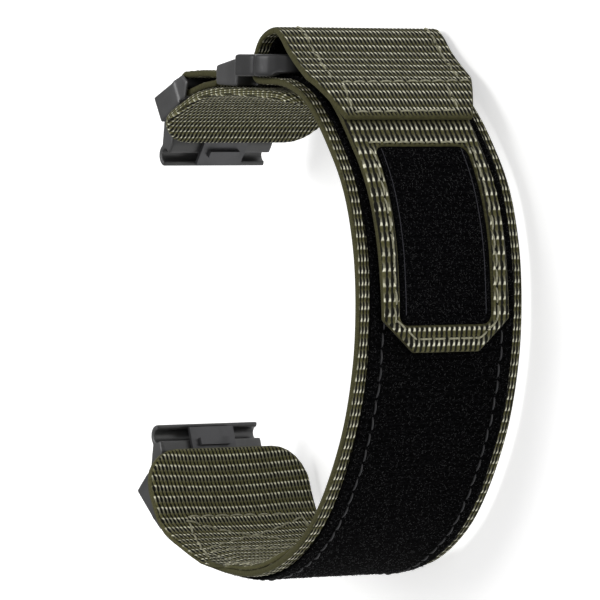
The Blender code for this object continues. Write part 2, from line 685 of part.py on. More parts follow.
def add_adapter(name, profile, parent):
    """A claw for the watch's lug pin with a sliding latch, on a bar that the webbing goes round."""
    turn = joint(f"{name}_adapter", profile.bar, parent)
    slide_v = LATCH_TOP - LATCH_THICK / 2
    slide = joint(f"{name}_latch_slide", profile.at(LATCH_START, slide_v), turn)
    plate_top = ADAPTER_WIDTH / 2
    ear_top = plate_top - PLATE_STEP
    body_half = ear_top - FIT_GAP
    bar_hole_half = ear_top - BAR_SKIN
    claw_half = CLAW_WIDTH / 2
    house_half = HOUSING_WIDTH / 2
    pocket_half = house_half - HOUSING_WALL
    pocket_start = HOUSING_START + HOUSING_WALL

    def solid(part, outline, low, high, look=BLACK_STEEL, body=turn):
        return prism(f"{name}_{part}", outline, low, high, look, body)

    arm = profile.points(ARM_TOP_SHARES)
    arm += profile.arc(ADAPTER_REACH, CLAW_RADIUS, CLAW_BACK, CLAW_MOUTH)
    arm += profile.arc(ADAPTER_REACH, SEAT_RADIUS, CLAW_MOUTH, CLAW_ROOT)
    arm += profile.points(ARM_FLOOR_SHARES)
    housing = profile.block(HOUSING_START, HOUSING_STOP, POCKET_FLOOR, HOUSING_TOP)
    joined = [
        solid("arm", arm, -claw_half, claw_half),
        solid("housing", housing, -house_half, house_half),
    ]
    for k, (low, high) in enumerate(ends_of(cheek_inner, plate_top)):
        joined.append(solid(f"plate_{k}", profile.points(PLATE_SHARES), low, high))
    for k, (low, high) in enumerate(ends_of(cheek_inner, ear_top)):
        joined.append(solid(f"ear_{k}", profile.points(EAR_SHARES), low, high))
    body = solid("adapter_frame", profile.points(BODY_SHARES), -body_half, body_half)
    combine(body, joined, "UNION")
    pocket_floor = POCKET_FLOOR - CUT_OVERRUN
    pocket_stop = HOUSING_STOP + CUT_OVERRUN
    pocket = profile.block(pocket_start, pocket_stop, pocket_floor, POCKET_TOP)
    bar_hole = hole(f"{name}_bar_hole", profile.bar, BAR_RADIUS + FIT_GAP, bar_hole_half, turn)
    combine(body, [solid("pocket", pocket, -pocket_half, pocket_half), bar_hole], "DIFFERENCE")
    soften(body, EDGE_WIDTH)
    bar_end = bar_hole_half - FIT_GAP
    solid("webbing_bar", circle(profile.bar, BAR_RADIUS), -bar_end, bar_end, DARK_STEEL)

    keeper_top = POCKET_FLOOR - FIT_GAP
    keeper_start, keeper_stop = HOUSING_START + FIT_GAP, HOUSING_STOP - FIT_GAP
    keeper = profile.block(keeper_start, keeper_stop, keeper_top - KEEPER_THICK, keeper_top)
    keeper_half = house_half - FIT_GAP
    solid("latch_keeper", keeper, -keeper_half, keeper_half, DARK_STEEL)

    latch_floor = LATCH_TOP - LATCH_THICK
    latch_half = pocket_half - SEAT_GAP
    plate = profile.block(LATCH_START, LATCH_STOP, latch_floor, LATCH_TOP)
    latch = solid("latch", plate, -latch_half, latch_half, DARK_STEEL, slide)
    thumb_top = latch_floor + LATCH_THICK / 2
    thumb = profile.block(THUMB_START, THUMB_STOP, latch_floor - THUMB_THICK, thumb_top)
    thumb_half = THUMB_WIDTH / 2
    combine(latch, [solid("thumb", thumb, -thumb_half, thumb_half, DARK_STEEL, slide)], "UNION")

    spring_start = pocket_start + FIT_GAP + SPRING_WIRE
    spring_stop = LATCH_START - FIT_GAP - SPRING_WIRE
    coil(f"{name}_latch_spring", profile, spring_start, spring_stop, slide_v, turn)


def coil(name, profile, start, stop, middle, parent):
    """A round wire wound along u."""
    made = bmesh.new()
    steps = SPRING_TURNS * CIRCLE_STEPS
    along = Vector((profile.along.x, profile.along.y, 0))
    out = Vector((profile.out.x, profile.out.y, 0))
    rings = []
    for k in range(steps + 1):
        turn = math.tau * SPRING_TURNS * k / steps
        radial = math.cos(turn) * out + math.sin(turn) * Vector((0, 0, 1))
        centre = profile.at(start + (stop - start) * k / steps, middle)
        centre = Vector((centre.x, centre.y, 0)) + SPRING_RADIUS * radial
        wire = []
        for j in range(SPRING_STEPS):
            angle = math.tau * j / SPRING_STEPS
            aim = math.cos(angle) * radial + math.sin(angle) * along
            wire.append(made.verts.new(centre + SPRING_WIRE * aim))
        rings.append(wire)
    for one, two in zip(rings, rings[1:]):
        for j in range(SPRING_STEPS):
            made.faces.new((one[j - 1], one[j], two[j], two[j - 1]))
    made.faces.new(rings[0])
    made.faces.new(rings[-1])
    return finished(name, made, DARK_STEEL, parent)


add_adapter("upper", upper, short_strap)
add_adapter("lower", lower, strap)

# Puts the origin on the floor, under the middle of the whole strap
bpy.context.view_layer.update()
solids = [o for o in bpy.data.objects if o.type == "MESH" and not o.hide_render]
corners = [o.matrix_world @ v.co for o in solids for v in o.data.vertices]
lows = [min(c[axis] for c in corners) for axis in range(3)]
highs = [max(c[axis] for c in corners) for axis in range(3)]
strap.location = (-(lows[0] + highs[0]) / 2, -(lows[1] + highs[1]) / 2, -lows[2])
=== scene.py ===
"""Looks for a woven nylon watch strap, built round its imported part: cloth, stitches, steel and light."""

import json
import math

import bpy
import numpy as np
from mathutils import Matrix, Vector


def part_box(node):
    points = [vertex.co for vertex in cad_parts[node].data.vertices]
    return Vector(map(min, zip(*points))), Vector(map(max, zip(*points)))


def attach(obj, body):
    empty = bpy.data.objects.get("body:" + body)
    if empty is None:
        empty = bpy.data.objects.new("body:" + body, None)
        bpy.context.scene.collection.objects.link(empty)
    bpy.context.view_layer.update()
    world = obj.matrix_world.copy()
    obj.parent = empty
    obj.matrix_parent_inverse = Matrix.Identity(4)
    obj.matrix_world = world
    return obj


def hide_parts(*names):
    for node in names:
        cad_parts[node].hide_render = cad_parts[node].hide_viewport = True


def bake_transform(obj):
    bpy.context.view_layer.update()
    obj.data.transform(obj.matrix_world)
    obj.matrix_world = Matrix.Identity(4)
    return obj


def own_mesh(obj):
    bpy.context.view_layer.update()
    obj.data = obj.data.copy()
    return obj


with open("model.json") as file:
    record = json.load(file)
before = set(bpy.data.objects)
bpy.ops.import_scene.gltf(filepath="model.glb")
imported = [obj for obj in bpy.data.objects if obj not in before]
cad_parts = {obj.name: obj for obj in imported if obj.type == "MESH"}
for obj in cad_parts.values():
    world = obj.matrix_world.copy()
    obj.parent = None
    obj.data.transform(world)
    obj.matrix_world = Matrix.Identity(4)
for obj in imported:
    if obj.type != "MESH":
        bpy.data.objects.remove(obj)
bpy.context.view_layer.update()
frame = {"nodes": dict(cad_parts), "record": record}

MM = 0.001

# Sizes of the part, as its source has them
SEWN_GAP = 0.15 * MM
SEAT_GAP = 0.3 * MM
WEBBING_THICK = 1.1 * MM
PAD_THICK = 1.5 * MM
PANEL_WIDTH = 28.6 * MM
PANEL_THICK = 0.5 * MM
HOOK_THICK = 0.35 * MM
TAIL_WIDTH = 24.6 * MM
INSET_WIDTH = 17.6 * MM
INSET_LENGTH = 28.6 * MM
INSET_CORNER = 1.6 * MM
INSET_DROP = 0.2 * MM
LOOP_BULGE = 5.2 * MM
LOOP_DEPTH = 70.2 * MM
LUG_PIN_SPAN = 49.2 * MM
ADAPTER_WIDTH = 25.8 * MM
ADAPTER_REACH = 15.3 * MM
UPPER_TILT = math.radians(32.8)
LOWER_TILT = math.radians(22.0)
BAR_RADIUS = 0.9 * MM
CHEEK_WIDTH = 4.4 * MM
PLATE_THICK = 0.8 * MM
BASE_BAR_RADIUS = 0.7 * MM
KNUCKLE_RADIUS = 1.35 * MM
RING_HEIGHT = 3.8 * MM
RING_THICK = 1.5 * MM
RING_LENGTH = 12.8 * MM
HINGE_REACH = 1.0 * MM
END_BAR_RAISE = 0.5 * MM
BASE_BAR_OUT = 15.3 * MM
BASE_BAR_Y = -26.6 * MM
HINGE_Y = -30.9 * MM
RING_OUT = 15.8 * MM
CLIMB_ROOM = 0.55 * MM
TURN_RADIUS = 2.2 * MM
FOLD_RISE = 4.3 * MM
FOLD_LEAN = 1.9 * MM
FOLD_REACH = 5.8 * MM
TIP_START = 5.6 * MM
CUT_END = 15.8 * MM
INSET_START = 21.1 * MM
TAIL_END = 54.1 * MM
CHAMFER_ACROSS = 6.0 * MM
CHAMFER_ALONG = 5.2 * MM
HOOK_MARGIN = 0.5 * MM
PAD_JOIN = 24.6 * MM
PAD_STOP = 49.6 * MM
PAD_ACROSS = 6.5 * MM
PAD_ALONG = 7.0 * MM
FLAP_DROP = 0.7 * MM
FLAP_PAST = 2.3 * MM
FLAP_CORNER = 5.0 * MM

# Sizes of the webbing as it is shown, which differ from the source's
FOLD_JOIN = 6.2 * MM
CUT_HALF = 12.7 * MM
CUT_TAPER = 9.8 * MM
RETURN_START = 8.5 * MM
FLARE_SEEN_START = 12.5 * MM
FLARE_SEEN_STOP = 22.5 * MM
PANEL_SEEN_START = 20.0 * MM

# Smoothness of the routes
CURVE_STEPS = 24
CORNER_STEPS = 6
EYE_STEPS = 8
ROUTE_STEP = 0.1 * MM
EYE_OPEN = math.radians(8.0)
TURN_STOP = math.radians(80.0)

# The routes' points, as shares of the loop, an adapter's reach, the short strap and the fold
LOOP_SHARES = [
    (-0.936, -0.150), (-0.958, -0.256), (-0.985, -0.370), (-0.999, -0.484), (-0.990, -0.577),
    (-0.934, -0.690), (-0.806, -0.806), (-0.652, -0.882), (-0.390, -0.960), (-0.140, -0.995),
    (0.060, -1.000), (0.270, -0.986), (0.456, -0.951), (0.566, -0.915), (0.664, -0.868),
    (0.762, -0.812), (0.845, -0.748), (0.880, -0.694),
]
LOWER_RETURN_SHARES = [(-0.480, -0.826), (-0.220, -0.437)]
LOWER_PAD_SHARES = [
    (0.760, -0.283), (0.438, -0.294), (0.183, -0.346), (-0.131, -0.525), (-0.317, -0.765),
    (-0.535, -1.050),
]
UPPER_PAD_SHARES = [(0.620, -0.258), (0.284, -0.307), (-0.107, -0.529), (-0.321, -0.686)]
SHORT_TOP_SHARES = [(0.30, 1.18), (0.60, 0.65), (0.85, 1.00)]
SHORT_START_SHARES = [(0.53, -0.62), (0.30, -0.77)]
SHORT_END_SHARES = [(0.85, -1.00), (0.56, -0.62)]
FOLD_SEEN_SHARES = [(-0.220, -0.520), (-0.740, -1.170), (-1.170, -1.830)]


# Plane geometry, in the strap's own profile

def left_of(vector):
    return Vector((-vector.y, vector.x))


def arc(centre, radius, start, stop, steps):
    angles = [start + (stop - start) * k / steps for k in range(steps + 1)]
    return [centre + radius * Vector((math.cos(a), math.sin(a))) for a in angles]


def smooth(points):
    """A centripetal Catmull-Rom curve through the given points, sampled finely."""
    first = 2 * points[0] - points[1]
    last = 2 * points[-1] - points[-2]
    guide = [first] + points + [last]
    curve = [points[0]]
    for p0, p1, p2, p3 in zip(guide, guide[1:], guide[2:], guide[3:]):
        t1 = math.sqrt((p1 - p0).length)
        t2 = t1 + math.sqrt((p2 - p1).length)
        t3 = t2 + math.sqrt((p3 - p2).length)
        for k in range(1, CURVE_STEPS + 1):
            t = t1 + (t2 - t1) * k / CURVE_STEPS
            a1 = p0.lerp(p1, t / t1)
            a2 = p1.lerp(p2, (t - t1) / (t2 - t1))
            a3 = p2.lerp(p3, (t - t2) / (t3 - t2))
            b1 = a1.lerp(a2, t / t2)
            b2 = a2.lerp(a3, (t - t1) / (t3 - t1))
            curve.append(b1.lerp(b2, (t - t1) / (t2 - t1)))
    return curve


class Line:
    """A line that layers of fabric follow, evenly sampled. Offsets are to its left."""

    def __init__(self, points):
        raw = np.array([(p.x, p.y) for p in points])
        lengths = np.concatenate([[0.0], np.cumsum(np.hypot(*np.diff(raw, axis=0).T))])
        self.end = lengths[-1]
        self.lengths = np.linspace(0.0, self.end, int(self.end / ROUTE_STEP) + 2)
        self.points = np.stack([np.interp(self.lengths, lengths, raw[:, k]) for k in (0, 1)], axis=1)
        runs = np.gradient(self.points, axis=0)
        runs /= np.linalg.norm(runs, axis=1, keepdims=True)
        self.sides = np.stack([-runs[:, 1], runs[:, 0]], axis=1)

    def places(self, distances, offsets):
        """Points at distances along the line and offsets to its left, as an array."""
        distances = np.asarray(distances, dtype=float)
        spots = [np.interp(distances, self.lengths, self.points[:, k]) for k in (0, 1)]
        sides = [np.interp(distances, self.lengths, self.sides[:, k]) for k in (0, 1)]
        return np.stack([spot + offsets * side for spot, side in zip(spots, sides)], axis=-1)

    def at(self, distance, offset=0.0):
        return Vector(self.places(distance, offset))

    def mark(self, target):
        """The distance along the line of its place nearest to a given point."""
        gaps = np.hypot(*(self.points - np.array(target)).T)
        return float(self.lengths[int(np.argmin(gaps))])


class Adapter:
    """An adapter's own profile: u runs from its webbing bar to the lug pin, and v runs outward."""

    def __init__(self, bar, pin, outward):
        self.bar = bar
        self.along = (pin - bar).normalized()
        side = left_of(self.along)
        self.out = side if side.x * outward > 0 else -side

    def points(self, shares):
        return [self.bar + ADAPTER_REACH * (u * self.along + v * self.out) for u, v in shares]


upper_pin = Vector((LUG_PIN_SPAN / 2, 0))
lower_pin = -upper_pin
upper_bar = upper_pin + ADAPTER_REACH * Vector((math.cos(UPPER_TILT), -math.sin(UPPER_TILT)))
lower_bar = lower_pin + ADAPTER_REACH * Vector((-math.cos(LOWER_TILT), -math.sin(LOWER_TILT)))
base_bar = upper_pin + Vector((BASE_BAR_OUT, BASE_BAR_Y))
ring_floor = upper_pin.x + RING_OUT
loop_half_height = abs(lower_bar.x) + LOOP_BULGE
ring_near = HINGE_Y - KNUCKLE_RADIUS - HINGE_REACH
ring_far = ring_near - RING_LENGTH
ring_top = ring_floor + RING_HEIGHT
end_bar_floor = ring_floor + END_BAR_RAISE
end_bar = Vector(((end_bar_floor + ring_top) / 2, ring_far + RING_THICK / 2))
upper = Adapter(upper_bar, upper_pin, 1)
lower = Adapter(lower_bar, lower_pin, -1)

webbing_half = WEBBING_THICK / 2
cheek_inner = ADAPTER_WIDTH / 2 - PLATE_THICK
narrow_half = cheek_inner - SEAT_GAP
wide_half = cheek_inner + CHEEK_WIDTH
panel_half = PANEL_WIDTH / 2
tip_half = TAIL_WIDTH / 2
eye_radius = BAR_RADIUS + SEWN_GAP + webbing_half
base_eye_radius = BASE_BAR_RADIUS + SEWN_GAP + webbing_half
panel_floor = webbing_half + SEWN_GAP
panel_top = panel_floor + PANEL_THICK
hook_floor = panel_top + SEWN_GAP
hook_top = hook_floor + HOOK_THICK
tip_floor = hook_top + SEWN_GAP
tip_top = tip_floor + WEBBING_THICK
fold_middle = tip_top + SEWN_GAP + webbing_half

run_x = end_bar_floor - SEAT_GAP - panel_top
climb_y = ring_near - RING_THICK - CLIMB_ROOM - webbing_half
turn_centre = Vector((run_x + TURN_RADIUS, climb_y - TURN_RADIUS))
shoulder = Vector((ring_top + FOLD_RISE / 2, climb_y - FOLD_LEAN))
apex = Vector((ring_top + FOLD_RISE - webbing_half, climb_y - FOLD_REACH))

lower_return = lower.points(LOWER_RETURN_SHARES)
lower_eye = arc(lower_bar, eye_radius, -EYE_OPEN, math.pi, EYE_STEPS)
ring_run = [Vector((run_x, end_bar.y)), Vector((run_x, turn_centre.y))]
ring_turn = arc(turn_centre, TURN_RADIUS, math.pi, TURN_STOP, EYE_STEPS)[1:]
loop = [Vector((x * loop_half_height, y * LOOP_DEPTH)) for x, y in LOOP_SHARES]
descent = [apex + FOLD_RISE * Vector(s) for s in FOLD_SEEN_SHARES]
long_points = lower_return + lower_eye + loop + ring_run + ring_turn + [shoulder, apex]
long_curve = smooth(long_points + descent)
long_line = Line(long_curve[:-CURVE_STEPS * len(descent)])
long_bar_end = long_line.mark(lower_eye[-1])
long_ring = long_line.mark(ring_run[0])

cut_place = long_ring - CUT_END
join_place = long_ring - FOLD_JOIN
beside_steps = int((join_place - cut_place) / PAD_THICK)
beside = [long_line.at(d, -fold_middle) for d in np.linspace(join_place, cut_place, beside_steps)]
fold_line = Line(smooth([shoulder, apex] + descent + beside)[CURVE_STEPS:])
fold_ring = fold_line.mark(beside[0])

short_way = base_bar - upper_bar
short_side = left_of(short_way.normalized()) * WEBBING_THICK


def short_points(shares):
    return [upper_bar + along * short_way + rise * short_side for along, rise in shares]


upper_eye = arc(upper_bar, eye_radius, math.pi, -EYE_OPEN, EYE_STEPS)
base_eye = arc(base_bar, base_eye_radius, EYE_OPEN, -math.pi, EYE_STEPS)
short_line = Line(smooth(short_points(SHORT_START_SHARES) + upper_eye + short_points(SHORT_TOP_SHARES)
                         + base_eye + short_points(SHORT_END_SHARES)))

pad_half = PAD_THICK / 2
pad_run_x = base_bar.x - base_eye_radius - webbing_half - SEAT_GAP - pad_half
pad_end = Vector((pad_run_x - FLAP_DROP, ring_far - FLAP_PAST))
upper_pad_points = upper.points(UPPER_PAD_SHARES)
upper_pad_points += [Vector((pad_run_x, y)) for y in (BASE_BAR_Y, end_bar.y)] + [pad_end]
upper_pad_line = Line(smooth(upper_pad_points))
pad_offset = webbing_half + SEAT_GAP + pad_half
pad_places = np.linspace(long_bar_end + PAD_JOIN, long_bar_end + PAD_STOP, CORNER_STEPS)
lower_pad_points = lower.points(LOWER_PAD_SHARES) + [long_line.at(d, pad_offset) for d in pad_places]
lower_pad_line = Line(smooth(lower_pad_points))

# Where the profile sits in the part's own space
bar_low, bar_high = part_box("upper_webbing_bar")
bar_middle = (Vector(bar_low) + Vector(bar_high)) / 2
shift = bar_middle - Vector((upper_bar.x, upper_bar.y, 0.0))


# Outlines of cloth, in a plane of place across and distance along

def rounded_start(start, half, across, along):
    angles = [k * math.pi / 2 / CORNER_STEPS for k in range(CORNER_STEPS + 1)]
    return [(start + along * (1 - math.cos(a)), half - across * (1 - math.sin(a))) for a in angles]


def rounded_stop(stop, half, across, along):
    mirrored = rounded_start(0.0, half, across, along)
    return [(stop - distance, width) for distance, width in reversed(mirrored)]


def band(widths):
    """The outline of a band, from pairs of distance and half width."""
    return [(half, d) for d, half in widths] + [(-half, d) for d, half in reversed(widths)]


def nearest(spots, outline):
    """For each spot, its gap to an outline and the outline's nearest point."""
    best = np.full(len(spots), np.inf)
    points = np.zeros_like(spots)
    corners = np.array(outline)
    for start, stop in zip(corners, np.roll(corners, -1, axis=0)):
        run = stop - start
        share = np.clip((spots - start) @ run / max(run @ run, 1e-18), 0.0, 1.0)
        near = start + share[:, None] * run
        gaps = np.hypot(*(spots - near).T)
        closer = gaps < best
        best[closer] = gaps[closer]
        points[closer] = near[closer]
    return best, points


def within(spots, outline):
    """Whether each spot is inside an outline."""
    inside = np.zeros(len(spots), dtype=bool)
    corners = np.array(outline)
    for (x0, y0), (x1, y1) in zip(corners, np.roll(corners, -1, axis=0)):
        if y0 == y1:
            continue
        crosses = (spots[:, 1] > y0) != (spots[:, 1] > y1)
        inside ^= crosses & (spots[:, 0] < x0 + (x1 - x0) * (spots[:, 1] - y0) / (y1 - y0))
    return inside


# Patterns of cloth

def hill(phase, centre, width):
    """A smooth hill, once in each unit of phase, that reaches nothing at a width from its centre."""
    gap = np.abs(np.mod(phase - centre + 0.5, 1.0) - 0.5)
    rise = np.clip(1.0 - gap / width, 0.0, 1.0)
    return rise * rise * (3.0 - 2.0 * rise)


# As shares of a weave's depth: a thread's rise, how much more it rises by the holes, and its head's
THREAD_RISE = 0.45
HOLE_RISE = 0.35
HEAD_RISE = 0.25

# How wide that relief is, at a head in shares of its float and at the holes in shares of a row
HEAD_SPREAD = 1.3
HOLE_SPREAD = 0.3


class Weave:
    """Ribs that run across the strap, crossed by threads that show as short floats, which the woven looks
    paint with highlights.
    """

    def __init__(self, row, pitch, slant, float_share, depth, hole_share=0.38):
        self.row = row
        self.hole_share = hole_share
        self.pitch = pitch
        self.slant = slant
        self.float_share = float_share
        self.depth = depth

    def relief(self, across, along):
        thread = hill(across / self.pitch + self.slant * along / self.row, 0.5, 0.5)
        head = hill(along / self.row, HEAD_AT, self.float_share * HEAD_SPREAD)
        hole = hill(along / self.row, HOLE_AT, HOLE_SPREAD)
        return self.depth * (thread * (THREAD_RISE + HOLE_RISE * hole) + HEAD_RISE * head - THREAD_RISE)


# Random heights along each side of a pile's grid
PILE_GRID = 512


class Pile:
    """An uneven nap, from random heights on a fine grid."""

    def __init__(self, cell, depth, seed):
        self.cell = cell
        self.depth = depth
        self.heights = np.random.default_rng(seed).random((PILE_GRID, PILE_GRID)) - 0.5

    def height(self, column, row):
        return self.heights[np.mod(column, PILE_GRID), np.mod(row, PILE_GRID)]

    def relief(self, across, along):
        u, v = across / self.cell, along / self.cell
        i, j = np.floor(u).astype(int), np.floor(v).astype(int)
        s, t = u - i, v - j
        low = self.height(i, j) * (1 - s) + self.height(i + 1, j) * s
        high = self.height(i, j + 1) * (1 - s) + self.height(i + 1, j + 1) * s
        return self.depth * (low * (1 - t) + high * t)


# A row's parts, as shares of it: each thread's head, painted bright as a highlight, the holes after it and
# fine lines, both painted dark as shade
HEAD_AT = 0.14
HOLE_AT = 0.34
LINES_AT = 0.86
SKIN_WEAVE = Weave(1.9 * MM, 0.79 * MM, 0.4, 0.24, 0.26 * MM, 0.48)
OUTER_WEAVE = Weave(1.96 * MM, 0.64 * MM, 0.1, 0.22, 0.26 * MM)
TAIL_WEAVE = Weave(2.37 * MM, 1.0 * MM, 0.12, 0.17, 0.28 * MM, 0.43)
PAD_WEAVE = Weave(1.95 * MM, 0.74 * MM, 0.3, 0.17, 0.22 * MM, 0.27)
FLAP_WEAVE = Weave(1.45 * MM, 0.80 * MM, 0.2, 0.20, 0.20 * MM)
LOOP_PILE = Pile(0.4 * MM, 0.16 * MM, 3)
INSET_PILE = Pile(0.35 * MM, 0.14 * MM, 5)

SEAL_WIDTH = 0.3 * MM
SEAL_FADE = 0.25 * MM
WINDOW_SEAL = 0.35 * MM
WOVEN_RIM = 0.32 * MM

# Room between a grid's lines and its box, and between its spots and an edge, as shares of a step
GRID_MARGIN = 0.35
LEAST_CELL = 0.3


def ease(value):
    value = np.clip(value, 0.0, 1.0)
    return value * value * (3.0 - 2.0 * value)


def straight(along):
    return 0.0 * along


def lines_between(low, high, step):
    """Grid lines that stand a little inside an outline's own edges."""
    count = max(2, int(round((high - low) / step)))
    margin = (high - low) / count * GRID_MARGIN
    return np.linspace(low + margin, high - margin, count)


def cut_grid(outline, window, step):
    """Spots and cells that fill an outline but not its window, and the border, drawn to their edges."""
    corners = np.array(outline)
    (a0, d0), (a1, d1) = corners.min(axis=0), corners.max(axis=0)
    across, along = lines_between(a0, a1, step[0]), lines_between(d0, d1, step[1])
    spots = np.stack(np.meshgrid(across, along), axis=-1).reshape(-1, 2)
    inside = within(spots, outline)
    gap, near = nearest(spots, outline)
    inside &= gap > step[0] * LEAST_CELL
    if window:
        hole_gap, hole_near = nearest(spots, window)
        inside &= ~within(spots, window) & (hole_gap > step[0] * LEAST_CELL)
        nearer = hole_gap < gap
        near[nearer] = hole_near[nearer]
    index = np.arange(len(spots)).reshape(-1, len(across))
    cells = np.stack([index[:-1, :-1], index[:-1, 1:], index[1:, 1:], index[1:, :-1]], axis=-1)
    cells = cells.reshape(-1, 4)
    cells = cells[inside[cells].all(axis=1)]
    edges = np.concatenate([cells[:, [k, (k + 1) % 4]] for k in range(4)])
    backward = {(b, a) for a, b in edges.tolist()}
    border = np.array([(a, b) for a, b in edges.tolist() if (a, b) not in backward])
    rim = np.unique(border)
    spots[rim] = near[rim]
    used = np.unique(cells)
    number = np.full(len(spots), -1)
    number[used] = np.arange(len(used))
    return spots[used], number[cells], number[border]


def edge_gaps(spots, outline, window, hem):
    """For each spot, its gap to the edge of the cloth, and that gap as the sealed edge counts it."""
    gap, _ = nearest(spots, outline)
    sealed = gap * SEAL_WIDTH / hem
    if window:
        hole_gap, _ = nearest(spots, window)
        sealed = np.minimum(sealed, hole_gap * SEAL_WIDTH / WINDOW_SEAL)
        gap = np.minimum(gap, hole_gap)
    return gap, sealed


def closed(faces, cells, border):
    """Quads over both faces of a cloth and the walls between them, all facing outward."""
    first = cells[0]
    one, two = faces[0][first[1]] - faces[0][first[0]], faces[0][first[3]] - faces[0][first[0]]
    outward = faces[0][first[0]] - faces[1][first[0]]
    if np.dot(np.cross(one, two), outward) < 0:
        cells, border = cells[:, ::-1], border[:, ::-1]
    count = len(faces[0])
    walls = np.column_stack([border[:, 1], border[:, 0], border[:, 0] + count, border[:, 1] + count])
    return np.concatenate([cells, cells[:, ::-1] + count, walls])


def carry_outward(walls, middle, thickness):
    """Carries the pattern's places on the far side of each wall outward, away from the middle."""
    run = walls[:, 1] - walls[:, 0]
    lengths = np.maximum(np.linalg.norm(run, axis=1), 1e-9)
    normal = np.column_stack([run[:, 1], -run[:, 0]]) / lengths[:, None]
    if np.dot(normal[0], walls[0, 0] - middle) < 0:
        normal = -normal
    walls[:, 2:] += normal[:, None] * thickness / MM


def fabric(name, line, outline, low, high, looks, body, step, edge, left=None, right=None,
           window=None, rounding=None, phase=0.0, rims=(0.55, 0.55), hem=SEAL_WIDTH,
           lean=straight, sag=None, bow=0.0, woven_rim=False):
    """A closed piece of cloth along a line, between two offsets, with rounded edges.

    Its left and right faces have a pattern and a share of thickness at the rim each. Lean moves it
    across by distance along, and sag says how far both faces lie to the right of their place.
    Bow moves the pattern along at the sides, and a woven rim carries it round the edge.
    """
    spots, cells, border = cut_grid(outline, window, step)
    gap, sealed = edge_gaps(spots, rounding or outline, window, hem)
    bulge = np.sqrt(1.0 - (1.0 - np.clip(gap / edge, 0.0, 1.0)) ** 2)
    flat = np.clip((sealed - SEAL_WIDTH) / SEAL_FADE, 0.0, 1.0)
    a, d = spots[:, 0], spots[:, 1]
    drawn = d + phase + bow * (a / np.array(outline)[:, 0].max()) ** 2
    faces = []
    for sign, pattern, rim in ((1, left, rims[0]), (-1, right, rims[1])):
        half = (high - low) / 2 * (rim + (1.0 - rim) * bulge)
        offset = half + (flat * pattern.relief(a, drawn) if pattern else 0.0)
        place = (low + high) / 2 + sign * offset
        if sag:
            place = place - sag(a, d)[sign < 0]
        faces.append(np.column_stack([line.places(d, place), a + lean(d)]) + np.array(shift))
    quads = closed(faces, cells, border)
    mesh = bpy.data.meshes.new(name)
    mesh.from_pydata(np.concatenate(faces).tolist(), [], quads.tolist())
    places = np.column_stack([np.tile(a, 2), np.tile(drawn, 2)])[quads] / MM
    carry_outward(places[-len(border):], np.array([a.mean(), d.mean()]) / MM, high - low)
    mesh.uv_layers.new(name="strap").uv.foreach_set("vector", places.ravel())
    seal = mesh.attributes.new("from_edge", "FLOAT", "POINT")
    sealed = np.maximum(sealed, WOVEN_RIM) if woven_rim else sealed
    seal.data.foreach_set("value", np.tile(sealed / MM, 2))
    kinds = np.concatenate([np.zeros(len(cells)), np.ones(len(cells)), np.zeros(len(border))])
    mesh.polygons.foreach_set("material_index", kinds.astype(np.int32))
    mesh.shade_smooth()
    return added(name, mesh, looks, body)


def added(name, mesh, looks, body):
    for look in looks:
        mesh.materials.append(look)
    made = bpy.data.objects.new(name, mesh)
    bpy.context.collection.objects.link(made)
    if body:
        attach(made, body)
    return made


# Materials

def set_socket(tree, socket, value):
    if isinstance(value, bpy.types.NodeSocket):
        tree.links.new(value, socket)
    elif hasattr(value, "__len__") and len(value) == 3 and socket.type == "RGBA":
        socket.default_value = (*value, 1.0)
    else:
        socket.default_value = value


def math_node(tree, operation, *values):
    made = tree.nodes.new("ShaderNodeMath")
    made.operation = operation
    for socket, value in zip(made.inputs, values):
        set_socket(tree, socket, value)
    return made.outputs[0]


